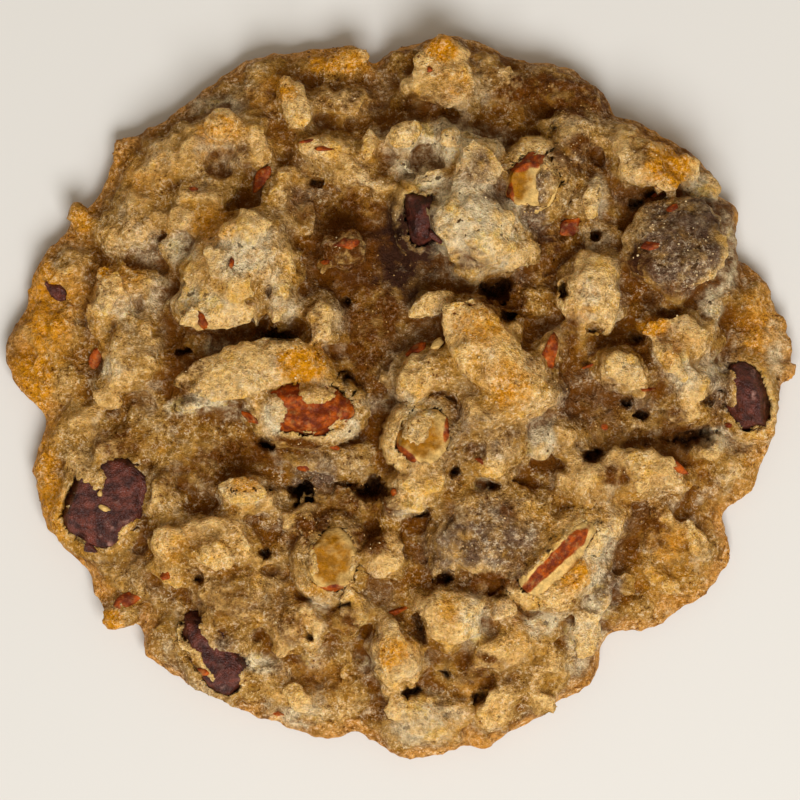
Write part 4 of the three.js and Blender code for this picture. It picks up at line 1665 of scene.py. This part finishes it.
@dataclass(frozen=True)
class Colouring:
    """Where the dough is pale, toasted, brown or grey, and how it stands or folds, from which come its
    painted light and painted shade.
    """

    patch_tears: tuple[Waves, ...] = (Waves(0.35, 2.2, 3.0),)
    patch_edge: Ramp = Ramp(1.4, 0.4)
    warm_fields: tuple[Waves, ...] = (Waves(1.0, 9.0, 3.0), Waves(0.4, 2.2, 4.0))
    warm_span: Ramp = Ramp(-0.1, 0.6)
    warm_strength: float = 0.4
    near_reach: float = 1.3
    wide_reach: float = 4.0
    rim_heights: Ramp = Ramp(5.2, 1.6)
    stand_level: float = 0.5
    stand_wide: float = 0.1
    stand_near: float = 0.24
    lit_edge_span: Ramp = Ramp(0.25, 1.1)
    lit_edge_strength: float = 0.7
    lit_edge_loss_at_rim: float = 0.5
    fold_shade_span: Ramp = Ramp(-0.5, -1.8)
    fold_shade_wide: float = 0.2
    fold_shade_strength: float = 0.6
    ashen_fields: tuple[Waves, ...] = (Waves(1.0, 4.2, 8.0), Waves(0.5, 1.6, 9.0))
    ashen_span: Ramp = Ramp(0.0, 0.55)
    ashen_stand: Ramp = Ramp(0.9, 0.2)
    ashen_strength: float = 0.35
    hole_shade_edge: Ramp = Ramp(1.0, 0.6)
    hole_shade_strength: float = 0.7
    under_facing: Ramp = Ramp(-0.4, -0.9)
    under_heights: Ramp = Ramp(1.4, 0.6)

    def mark(self, mesh: bpy.types.Mesh) -> None:
        """Notes all of this at each corner of the dough.

        Args:
            mesh: The dough.
        """
        corners = coordinates(mesh)
        facing = corner_normals(mesh)[:, 2]
        self.mark_tints(mesh, corners)
        self.mark_relief(mesh, corners, facing)
        uneven = torn(corners)
        # Painted shade in the holes, with torn edges.
        hole = np.zeros(len(corners))
        for hollow in HOLLOWS:
            hole = np.maximum(hole, self.hole_shade_strength * self.hole_shade_edge.at(hollow.away(corners) * uneven))
        set_mask(mesh, Mark.HOLE_SHADE, hole)
        under = self.under_facing.at(facing) * self.under_heights.at(corners[:, 2])
        set_mask(mesh, Mark.UNDERSIDE, under)

    def mark_tints(self, mesh: bpy.types.Mesh, corners: np.ndarray) -> None:
        """Notes the tinted places.

        Args:
            mesh: The dough.
            corners: Its corners.
        """
        ragged = rough(corners, self.patch_tears, 1.0)
        warm = self.warm_strength * self.warm_span.at(rough(corners, self.warm_fields))
        for tint, patches in TINTED_PLACES.items():
            mask = warm if tint is Tint.GOLDEN else np.zeros(len(corners))
            for patch in patches:
                cover = self.patch_edge.at(patch.away(corners) * ragged)
                mask = np.maximum(mask, patch.strength * cover)
            set_mask(mesh, tint, mask)

    def mark_relief(self, mesh: bpy.types.Mesh, corners: np.ndarray, facing: np.ndarray) -> None:
        """Notes how each corner stands out from what is around it: its painted light on lumps and crests,
        its painted shade in folds, the rim's colour and the ashen tone.

        Args:
            mesh: The dough.
            corners: Its corners.
            facing: How far each corner faces up.
        """
        near = corners[:, 2] - mean_height(corners, facing, self.near_reach)
        wide = corners[:, 2] - mean_height(corners, facing, self.wide_reach)
        rim = self.rim_heights.at(corners[:, 2])
        # How far a corner stands out, which the finish paints as light on lumps and shade in hollows.
        stand = self.stand_level + self.stand_wide * wide + self.stand_near * near
        # Painted light on crests, less of it at the rim.
        edge = self.lit_edge_strength * self.lit_edge_span.at(near) * (1 - self.lit_edge_loss_at_rim * rim)
        # Painted shade in folds, none at the rim.
        fold = self.fold_shade_strength * self.fold_shade_span.at(near + self.fold_shade_wide * wide) * (1 - rim)
        ashen = self.ashen_strength * self.ashen_span.at(rough(corners, self.ashen_fields))
        set_mask(mesh, Mark.STAND_LIGHT_AND_SHADE, np.clip(stand, 0.0, 1.0))
        set_mask(mesh, Mark.LIT_EDGE, edge)
        set_mask(mesh, Mark.FOLD_SHADE, fold)
        set_mask(mesh, Mark.ASHEN, ashen * self.ashen_stand.at(near) * (1 - rim))
        set_mask(mesh, Mark.RIM, rim)


@dataclass
class Dough:
    """The baked dough, with all that stands in its skin."""

    base_voxel: float = 0.5
    base_rounds: int = 3
    lump_reach: float = 3.4
    lump_gain: float = 1.15
    dip_gain: float = 0.85
    crease_reach: float = 1.3
    crease_gain: float = 0.5
    warp_pitch: float = 3.0
    warp_seeds: tuple[float, ...] = (1.0, 2.0, 3.0)
    cobbles: tuple[tuple[float, float], ...] = ((6.5, 0.5), (2.6, 0.4))  # pitch and rise of each
    cobble_middle: float = 0.45
    crack_depth: float = 0.7
    crack_lines: Waves = Waves(1.0, 4.4, 5.0)
    crack_warp: float = 0.8
    crack_width: Ramp = Ramp(0.16, 0.0)
    crack_fields: Waves = Waves(1.0, 7.0, 8.0)
    crack_cover: Ramp = Ramp(-0.2, 0.4)
    steep_facing: Ramp = Ramp(0.0, 0.4)
    steep_heights: Ramp = Ramp(1.0, 3.5)
    toppings: Toppings = Toppings()
    voxel: float = 0.38
    rounds: int = 1
    hollow_edge: Ramp = Ramp(1.2, 0.6)
    hollow_facing: float = -0.2
    hollow_floor: float = 2.0
    ridges: tuple[Waves, ...] = (Waves(0.5, 3.6, 1.0), Waves(0.3, 1.7, 2.0))
    crumb: Waves = Waves(0.2, 0.95, 7.0)
    calm_side: float = 0.4
    calm_side_heights: Ramp = Ramp(5.0, 2.5)
    calm_foot: float = 0.5
    calm_foot_heights: Ramp = Ramp(2.0, 0.5)
    bedding: Bedding = Bedding()
    chip_lip: float = 0.12
    pecan_lip: float = 0.34
    most_triangles: int = 190_000
    colouring: Colouring = Colouring()
    shell: Shell = field(init=False)
    piece: bpy.types.Object = field(init=False)

    def build(self, finish: bpy.types.Material, chips: list[Shell], pecans: list[Shell]) -> None:
        """Builds the dough and sets it in place.

        Args:
            finish: The dough's material.
            chips: The dressed chips that are bedded in it.
            pecans: The dressed pecans that are bedded in it.
        """
        bedded = Shell.joined([Shell.of_node(name) for name in CHIP_NODES + PECAN_NODES])
        solid = Shell.of_node("dough")
        base = Shell.joined([solid, bedded]).fused("dough_base", self.base_voxel, self.base_rounds)
        self.steepen(base)
        ground = Shell.of_mesh(base)
        grown = Shell.joined([ground] + self.toppings.shells(ground.tree()))
        mesh = grown.fused("dough", self.voxel, self.rounds)
        self.carve(mesh)
        self.roughen(mesh)
        pockets = solid.tree()
        for shells, lip_slope in ((chips, self.chip_lip), (pecans, self.pecan_lip)):
            for shell in shells:
                self.bedding.fit(mesh, pockets, shell, lip_slope)
        mesh = self.lighter(mesh)
        self.colouring.mark(mesh)
        self.shell = Shell.of_mesh(mesh)
        self.piece = place("dough_crust", mesh, finish, ("dough",))

    def steepen(self, mesh: bpy.types.Mesh) -> None:
        """Makes the lumps stand out more, with deep creases between them and smaller lumps on them.

        Args:
            mesh: The dough without its toppings.
        """
        corners = coordinates(mesh)
        facing = corner_normals(mesh)[:, 2]
        mean = mean_height(corners, facing, self.lump_reach)
        stand = corners[:, 2] - mean
        crease = np.minimum(corners[:, 2] - mean_height(corners, facing, self.crease_reach), 0.0)
        steep = np.where(stand > 0, self.lump_gain, self.dip_gain) * stand + self.crease_gain * crease
        warp = np.stack([noise_at(corners, self.warp_pitch, seed) for seed in self.warp_seeds], axis=1)
        for pitch, rise in self.cobbles:
            steep += rise * (self.cobble_middle - grains_at(corners + warp, pitch))
        away_from_line = np.abs(self.crack_lines.at(corners + self.crack_warp * warp))
        cracks = self.crack_depth * self.crack_width.at(away_from_line)
        steep -= cracks * self.crack_cover.at(self.crack_fields.at(corners))
        share = self.steep_facing.at(facing) * self.steep_heights.at(corners[:, 2])
        corners[:, 2] += (mean + steep - corners[:, 2]) * share
        set_coordinates(mesh, corners)

    def carve(self, mesh: bpy.types.Mesh) -> None:
        """Sinks the holes and deep folds.

        Args:
            mesh: The dough.
        """
        corners = coordinates(mesh)
        uneven = torn(corners)
        top = corner_normals(mesh)[:, 2] > self.hollow_facing
        for hollow in HOLLOWS:
            deep = hollow.depth * self.hollow_edge.at(hollow.away(corners) * uneven) * top
            corners[:, 2] -= np.minimum(deep, np.maximum(corners[:, 2] - self.hollow_floor, 0.0))
        set_coordinates(mesh, corners)

    def roughen(self, mesh: bpy.types.Mesh) -> None:
        """Gives the crust its crumb, calmer towards the foot, and lays the underside flat.

        Args:
            mesh: The dough.
        """
        corners = coordinates(mesh)
        push = sum(layer.ridges(corners) for layer in self.ridges) + self.crumb.at(corners)
        calm = self.calm_side * self.calm_side_heights.at(corners[:, 2])
        calm += self.calm_foot * self.calm_foot_heights.at(corners[:, 2])
        corners += corner_normals(mesh) * (push * (1 - calm))[:, None]
        corners[:, 2] = np.maximum(corners[:, 2], 0.0)
        set_coordinates(mesh, corners)

    def lighter(self, mesh: bpy.types.Mesh) -> bpy.types.Mesh:
        """Uses fewer triangles where the dough is flat, so that the whole stays within its count.

        Args:
            mesh: The dough. It is used up.

        Returns:
            The lighter mesh.
        """
        holder = bpy.data.objects.new("dough_work", mesh)
        bpy.context.scene.collection.objects.link(holder)
        triangles = sum(len(face.vertices) - 2 for face in mesh.polygons)
        fewer = holder.modifiers.new("fewer", "DECIMATE")
        fewer.ratio = min(1.0, self.most_triangles / triangles)
        log.info("dough before thinning: %d triangles", triangles)
        return applied(holder)


# Chocolate and pecans

@dataclass
class ChocolateChips:
    """The pieces of dark chocolate that show."""

    voxel: float = 0.24
    rounds: int = 3
    growth: float = 0.3
    dents: tuple[Waves, ...] = (Waves(0.25, 2.2), Waves(0.12, 0.8, 5.0))
    facets: int = 14
    facet_depth: Ends = (0.2, 0.8)
    bloom: Waves = Waves(1.0, 1.1, 9.0)
    bloom_span: Ramp = Ramp(0.2, 0.7)
    bloom_strength: float = 0.5
    seed: int = 3
    shells: list[Shell] = field(default_factory=list)

    def build(self, finish: bpy.types.Material) -> None:
        """Builds each chip and sets it in place.

        Args:
            finish: The chips' material.
        """
        draw = np.random.default_rng(self.seed)
        for name in CHIP_NODES:
            mesh = Shell.of_node(name).fused(name, self.voxel, self.rounds)
            corners = coordinates(mesh)
            corners += corner_normals(mesh) * rough(corners, self.dents, self.growth)[:, None]
            self.chip_off(corners, draw)
            set_coordinates(mesh, corners)
            set_mask(mesh, Mark.BLOOM, self.bloom_strength * self.bloom_span.at(self.bloom.at(corners)))
            self.shells.append(Shell.of_mesh(mesh))
            place(f"{name}_chunk", mesh, finish, (name,))

    def chip_off(self, corners: np.ndarray, draw: np.random.Generator) -> None:
        """Breaks flat facets off the top and sides of a chip.

        Args:
            corners: The chip's corners, which are moved.
            draw: The source of the facets' chance places.
        """
        for _ in range(self.facets):
            way = draw.normal(size=3)
            way[2] = abs(way[2])
            way /= np.linalg.norm(way)
            out = corners @ way
            beyond = np.maximum(out - out.max() + draw.uniform(*self.facet_depth), 0.0)
            corners -= beyond[:, None] * way


@dataclass(frozen=True)
class PecanLook:
    """What shows of a broken pecan: how its face is broken off, and where it has skin and amber flesh."""

    cut: tuple[float, float, float] = (0.0, 0.0, 1.0)
    out: float = 1.0
    skin: tuple[Spot, ...] = ()
    amber: tuple[Spot, ...] = ()


PECAN_LOOKS: dict[str, PecanLook] = {
    "pecan_piece_1": PecanLook(skin=(Spot(-11.1, -1.3, 9.0, 9.0),)),
    "pecan_piece_2": PecanLook(
        cut=(0.4, -0.42, 0.81),
        out=0.5,
        skin=(Spot(18.3, -19.6, 6.4, 0.85, 45), Spot(20.4, -17.6, 2.6, 1.1, 45)),
    ),
    "pecan_piece_3": PecanLook(
        cut=(0.15, -0.2, 0.97),
        out=0.6,
        skin=(Spot(1.2, -7.2, 3.0, 0.5, -42), Spot(5.7, -3.6, 0.45, 1.9, -8)),
        amber=(Spot(2.4, -4.4, 3.0, 3.0),),
    ),
    "pecan_piece_4": PecanLook(
        cut=(0.05, -0.1, 0.98),
        out=0.62,
        skin=(Spot(-8.1, -23.3, 2.6, 0.9), Spot(-10.9, -17.2, 0.9, 1.3)),
        amber=(Spot(-8.3, -19.2, 2.8, 3.2),),
    ),
    "pecan_piece_5": PecanLook(
        cut=(0.1, -0.25, 0.96),
        out=0.6,
        skin=(Spot(14.9, 28.5, 3.4, 1.6, 14), Spot(13.2, 23.8, 0.5, 1.6)),
        amber=(Spot(14.2, 25.6, 1.6, 2.4),),
    ),
}


@dataclass
class PecanPieces:
    """The broken pecans that show."""

    voxel: float = 0.22
    rounds: int = 3
    growth: float = 0.15
    dents: tuple[Waves, ...] = (Waves(0.22, 1.5), Waves(0.12, 0.6, 5.0))
    break_waves: Waves = Waves(0.2, 1.0, 4.0)
    cover_tears: tuple[Waves, ...] = (Waves(0.25, 0.9, 3.0),)
    skin_edge: Ramp = Ramp(1.15, 0.8)
    amber_edge: Ramp = Ramp(1.5, 0.4)
    shells: list[Shell] = field(default_factory=list)

    def build(self, finish: bpy.types.Material) -> None:
        """Builds each piece and sets it in place.

        Args:
            finish: The pecans' material.
        """
        for name, look in PECAN_LOOKS.items():
            mesh = Shell.of_node(name).fused(name, self.voxel, self.rounds)
            corners = coordinates(mesh)
            corners += corner_normals(mesh) * rough(corners, self.dents, self.growth)[:, None]
            corners = self.broken(corners, look)
            set_coordinates(mesh, corners)
            set_mask(mesh, Mark.SKIN, self.covered(corners, look.skin, self.skin_edge))
            set_mask(mesh, Mark.AMBER, self.covered(corners, look.amber, self.amber_edge))
            self.shells.append(Shell.of_mesh(mesh))
            place(f"{name}_kernel", mesh, finish, (name,))

    def broken(self, corners: np.ndarray, look: PecanLook) -> np.ndarray:
        """Breaks a piece along its face.

        Args:
            corners: The whole piece's corners.
            look: Its broken face.

        Returns:
            The corners, with those beyond the face laid on it.
        """
        away = np.array(look.cut) / np.linalg.norm(look.cut)
        middle = (corners.min(0) + corners.max(0)) / 2
        out = (corners - middle) @ away
        limit = look.out * out.max() + self.break_waves.at(corners)
        return corners - np.maximum(out - limit, 0.0)[:, None] * away

    def covered(self, corners: np.ndarray, spots: tuple[Spot, ...], edge: Ramp) -> np.ndarray:
        """How far each corner lies in one of several places.

        Args:
            corners: The corners.
            spots: The places.
            edge: Where the cover ends and where it is full, as shares of a place's size.

        Returns:
            From 0 outside them to 1 inside.
        """
        ragged = rough(corners, self.cover_tears, 1.0)
        cover = np.zeros(len(corners))
        for spot in spots:
            cover = np.maximum(cover, edge.at(spot.away(corners) * ragged))
        return cover


# Small pieces of nut and chocolate that the dough holds.
SKIN_BITS = (
    Flake(-16.5, 26.0, 2.2, 1.0, 52, 0.45, 0.05),
    Flake(-24.6, 24.7, 0.65, 0.4, 10, 0.3, 0.0),
    Flake(-20.0, 15.7, 0.9, 0.45, 80, 0.3, 0.0),
    Flake(-23.3, 9.0, 1.6, 0.6, -57, 0.45, 0.05),
    Flake(20.5, 20.3, 1.7, 1.4, 60, 0.5, 0.0),
    Flake(30.1, 17.9, 1.4, 0.9, 10, 0.3, 0.0),
    Flake(32.6, 22.4, 0.9, 0.6, 40, 0.3, 0.0),
    Flake(30.7, 24.1, 1.1, 0.4, 5, 0.3, 0.0),
    Flake(-36.3, 5.0, 2.2, 0.9, 65, 0.3, 0.0),
    Flake(-32.3, -24.4, 2.0, 1.1, 25, 0.5, 0.0),
    Flake(33.1, -8.2, 2.4, 0.6, -42, 0.5, 0.1),
    Flake(-0.5, -25.6, 1.9, 0.4, 22, 0.45, 0.05),
    Flake(-6.5, 18.2, 1.8, 0.8, 12, 0.45, 0.0),
    Flake(-8.3, 16.2, 1.2, 0.35, 10, 0.3, 0.0),
    Flake(2.1, 5.6, 1.6, 0.7, 35, 0.45, 0.1),
    Flake(-11.3, -8.4, 0.9, 0.7, 0, 0.3, 0.0),
    Flake(-7.6, -6.0, 1.2, 0.4, -15, 0.3, 0.0),
    Flake(-0.5, -11.4, 0.7, 0.5, -40, 0.3, 0.0),
    Flake(9.7, -7.6, 1.0, 0.3, -30, 0.3, 0.0),
    Flake(-8.9, 29.5, 1.3, 0.35, 0, 0.3, 0.0),
    Flake(-10.9, 30.5, 1.0, 0.25, 10, 0.3, 0.0),
    Flake(-17.6, -2.6, 1.4, 0.6, -35, 0.3, 0.0),
    Flake(39.5, -3.4, 0.6, 0.4, 0, 0.3, 0.0),
    Flake(24.4, -3.6, 0.8, 0.5, -20, 0.3, 0.0),
    Flake(-27.9, -21.4, 0.7, 0.6, 0, 0.3, 0.0),
    Flake(-14.5, -37.9, 0.7, 0.4, -10, 0.3, 0.0),
    Flake(-23.4, -32.8, 1.0, 0.5, -40, 0.3, 0.0),
    Flake(29.5, 0.9, 1.2, 0.25, 0, 0.3, 0.0),
    Flake(22.7, 3.7, 1.1, 0.2, 15, 0.3, 0.0),
    Flake(3.7, 39.0, 0.5, 0.4, 0, 0.3, 0.0),
    Flake(18.1, 5.6, 2.4, 1.2, 75, 0.8, 0.1),
)
FLESH_BITS = (
    Flake(4.5, 5.9, 1.3, 0.6, 55, 0.4, 0.5),
    Flake(-35.8, -11.5, 0.42, 0.4, 0, 0.3, 0.1),
    Flake(-35.2, -13.3, 0.75, 0.35, -25, 0.3, 0.1),
)
CHOCOLATE_BITS = (
    Flake(-41.1, 12.8, 1.7, 1.1, -45, 0.6, 0.2),
    Flake(-37.1, -18.1, 1.1, 0.7, -30, 0.5, 0.1),
    Flake(4.3, 19.1, 1.3, 0.5, -35, 0.5, 0.2),
)


@dataclass
class Bits:
    """The small pieces of nut and chocolate that lie in the dough."""

    detail: int = 3
    breaks: int = 9
    break_ways: tuple[float, float, float] = (1.0, 1.0, 0.5)
    break_depth: Ends = (0.5, 0.95)
    seed: int = 21

    def shards(self, bits: tuple[Flake, ...], ground: BVHTree) -> Shell:
        """Broken bits that lie in the dough.

        Args:
            bits: Their places and sizes.
            ground: What they lie on.

        Returns:
            The skins of all of them.
        """
        draw = np.random.default_rng(self.seed)
        ball = Shell.of_ball(self.detail)
        shells = []
        for bit in bits:
            corners = ball.corners.copy()
            for _ in range(self.breaks):
                way = draw.normal(size=3) * self.break_ways
                way /= np.linalg.norm(way)
                beyond = np.maximum(corners @ way - draw.uniform(*self.break_depth), 0.0)
                corners -= beyond[:, None] * way
            shells.append(lying(bit, ground, Shell(corners, ball.triangles)))
        return Shell.joined(shells)

    def build(self, ground: Shell, pecan: bpy.types.Material, chocolate: bpy.types.Material) -> None:
        """Builds the bits and sets them in place.

        Args:
            ground: What they lie on.
            pecan: The nuts' material.
            chocolate: The chocolate's material.
        """
        tree = ground.tree()
        nuts = SKIN_BITS + FLESH_BITS
        mesh = self.shards(nuts, tree).mesh("pecan_bits")
        skin = np.arange(len(nuts)) < len(SKIN_BITS)
        set_mask(mesh, Mark.SKIN, np.repeat(skin, len(mesh.vertices) // len(nuts)))
        set_mask(mesh, Mark.AMBER, np.zeros(len(mesh.vertices)))
        place("pecan_bits", mesh, pecan)
        mesh = self.shards(CHOCOLATE_BITS, tree).mesh("chocolate_bits")
        set_mask(mesh, Mark.BLOOM, np.zeros(len(mesh.vertices)))
        place("chocolate_bits", mesh, chocolate)


# Crumbs

@dataclass
class Crumbs:
    """Loose crumbs and sugar grains on the dough."""

    count: int = 5000
    detail: int = 1
    size: Ends = (0.05, 0.16)
    lumpiness: Ends = (0.7, 1.3)
    stretch: Ends = (0.6, 1.2)
    least_facing: float = 0.2
    least_height: float = 1.0
    least_area: float = 1e-9
    tone_spread: Ends = (-0.25, 0.25)
    seed: int = 5

    def build(self, dough: Dough, finish: bpy.types.Material) -> None:
        """Scatters the crumbs and sets them in place.

        Args:
            dough: What they lie on.
            finish: Their material.
        """
        mesh = dough.piece.data
        shell = Shell.of_mesh(mesh)
        corners = shell.corners[shell.triangles] / MM
        draw = np.random.default_rng(self.seed)
        chosen = draw.choice(len(corners), self.count, p=self.chances(corners))
        shares = draw.dirichlet((1.0, 1.0, 1.0), self.count)
        middles = np.einsum("ij,ijk->ik", shares, corners[chosen])
        ball = Shell.of_ball(self.detail)
        crumbs = self.scattered(middles, ball, draw).mesh("loose_crumbs")
        # Each crumb takes the painted light and shade of the dough under it, and some chance.
        stand = np.empty(len(mesh.vertices), dtype=np.float32)
        mesh.attributes[Mark.STAND_LIGHT_AND_SHADE.value].data.foreach_get("value", stand)
        tones = stand[shell.triangles[chosen, 0]] + draw.uniform(*self.tone_spread, self.count)
        set_mask(crumbs, Mark.TONE, np.repeat(np.clip(tones, 0.0, 1.0), len(ball.corners)))
        place("loose_crumbs", crumbs, finish)

    def chances(self, corners: np.ndarray) -> np.ndarray:
        """The chance of each triangle of the dough to hold a crumb.

        Args:
            corners: The three corners of each triangle, in millimetres.

        Returns:
            Chances in proportion to the area of the triangles that face up, and 0 for the others.
        """
        sides = np.cross(corners[:, 1] - corners[:, 0], corners[:, 2] - corners[:, 0])
        area = np.linalg.norm(sides, axis=1)
        up = sides[:, 2] / np.maximum(area, self.least_area)
        high = corners[:, :, 2].min(axis=1) > self.least_height
        weight = area * (up > self.least_facing) * high
        return weight / weight.sum()

    def scattered(self, middles: np.ndarray, ball: Shell, draw: np.random.Generator) -> Shell:
        """An uneven crumb at each place.

        Args:
            middles: The places, one a row.
            ball: The ball that each crumb is shaped from.
            draw: The source of their chance sizes.

        Returns:
            The skins of all of them.
        """
        least, most = self.size
        reach = least + (most - least) * draw.uniform(size=(self.count, 1, 1)) ** 2
        shape = draw.uniform(*self.lumpiness, (self.count, len(ball.corners), 1))
        stretch = draw.uniform(*self.stretch, (self.count, 1, 3))
        points = middles[:, None, :] + ball.corners[None] * shape * stretch * reach
        firsts = np.arange(self.count)[:, None, None] * len(ball.corners)
        triangles = ball.triangles[None] + firsts
        return Shell(points.reshape(-1, 3), triangles.reshape(-1, 3))


# Studio

@dataclass
class Studio:
    """The floor, the soft light and the camera above the cookie."""

    floor_side: float = 3000.0
    floor_drop: float = 0.2
    floor_colour: Colour = srgb(226, 224, 220)
    floor_roughness: float = 0.8
    key_at: tuple[float, float, float] = (120.0, -460.0, 710.0)
    key_side: float = 520.0
    key_watts: float = 7.1
    fill: float = 0.34
    fill_colour: Colour = (1.0, 0.88, 0.7, 1.0)
    view_width: float = 96.0
    view_middle: tuple[float, float] = (0.1, -0.36)
    view_height: float = 1000.0
    view_plane: float = 3.0
    view_depth: float = 100_000.0
    sensor: float = 36.0

    def build(self) -> None:
        """Sets up the floor, the lights and the camera."""
        self.floor()
        self.lights()
        self.camera()

    def floor(self) -> None:
        """A wide pale floor, just under the cookie."""
        half = self.floor_side / 2
        corners = [(-half, -half), (half, -half), (half, half), (-half, half)]
        mesh = bpy.data.meshes.new("floor")
        mesh.from_pydata([(x * MM, y * MM, -self.floor_drop * MM) for x, y in corners], [], [(0, 1, 2, 3)])
        material, _, shader = new_finish("pale_floor")
        shader.inputs["Base Color"].default_value = self.floor_colour
        shader.inputs["Roughness"].default_value = self.floor_roughness
        mesh.materials.append(material)
        floor = bpy.data.objects.new("floor", mesh)
        bpy.context.scene.collection.objects.link(floor)

    def lights(self) -> None:
        """A large soft light from below the picture, and an even fill."""
        lamp = bpy.data.lights.new("key", "AREA")
        lamp.shape = "SQUARE"
        lamp.size = self.key_side * MM
        lamp.energy = self.key_watts
        key = bpy.data.objects.new("key", lamp)
        key.location = Vector(self.key_at) * MM
        key.rotation_euler = key.location.to_track_quat("Z", "Y").to_euler()
        bpy.context.scene.collection.objects.link(key)
        world = bpy.data.worlds.new("studio")
        world.use_nodes = True
        background = world.node_tree.nodes["Background"]
        background.inputs["Color"].default_value = self.fill_colour
        background.inputs["Strength"].default_value = self.fill
        bpy.context.scene.world = world
        bpy.context.scene.view_settings.view_transform = "Standard"

    def camera(self) -> None:
        """A long lens straight above the cookie."""
        lens = bpy.data.cameras.new("above")
        lens.sensor_width = self.sensor
        lens.lens = self.sensor * self.view_height / self.view_width
        lens.clip_end = self.view_depth * MM
        camera = bpy.data.objects.new("above", lens)
        camera.location = Vector((*self.view_middle, self.view_height + self.view_plane)) * MM
        bpy.context.scene.collection.objects.link(camera)
        bpy.context.scene.camera = camera


def main() -> None:
    """Builds the cookie and its studio, and logs the faces of each piece as it is set in place."""
    logging.basicConfig(level=logging.INFO, format="%(name)s %(message)s")
    Studio().build()
    effects = Effects()
    chocolate = ChocolateFinish().material(effects)
    pecan = PecanFinish().material(effects)
    chips = ChocolateChips()
    chips.build(chocolate)
    pecans = PecanPieces()
    pecans.build(pecan)
    dough = Dough()
    dough.build(DoughFinish().material(effects), chips.shells, pecans.shells)
    Bits().build(Shell.joined([dough.shell, *chips.shells, *pecans.shells]), pecan, chocolate)
    Crumbs().build(dough, CrumbFinish().material(effects))


if __name__ == "__main__":
    main()
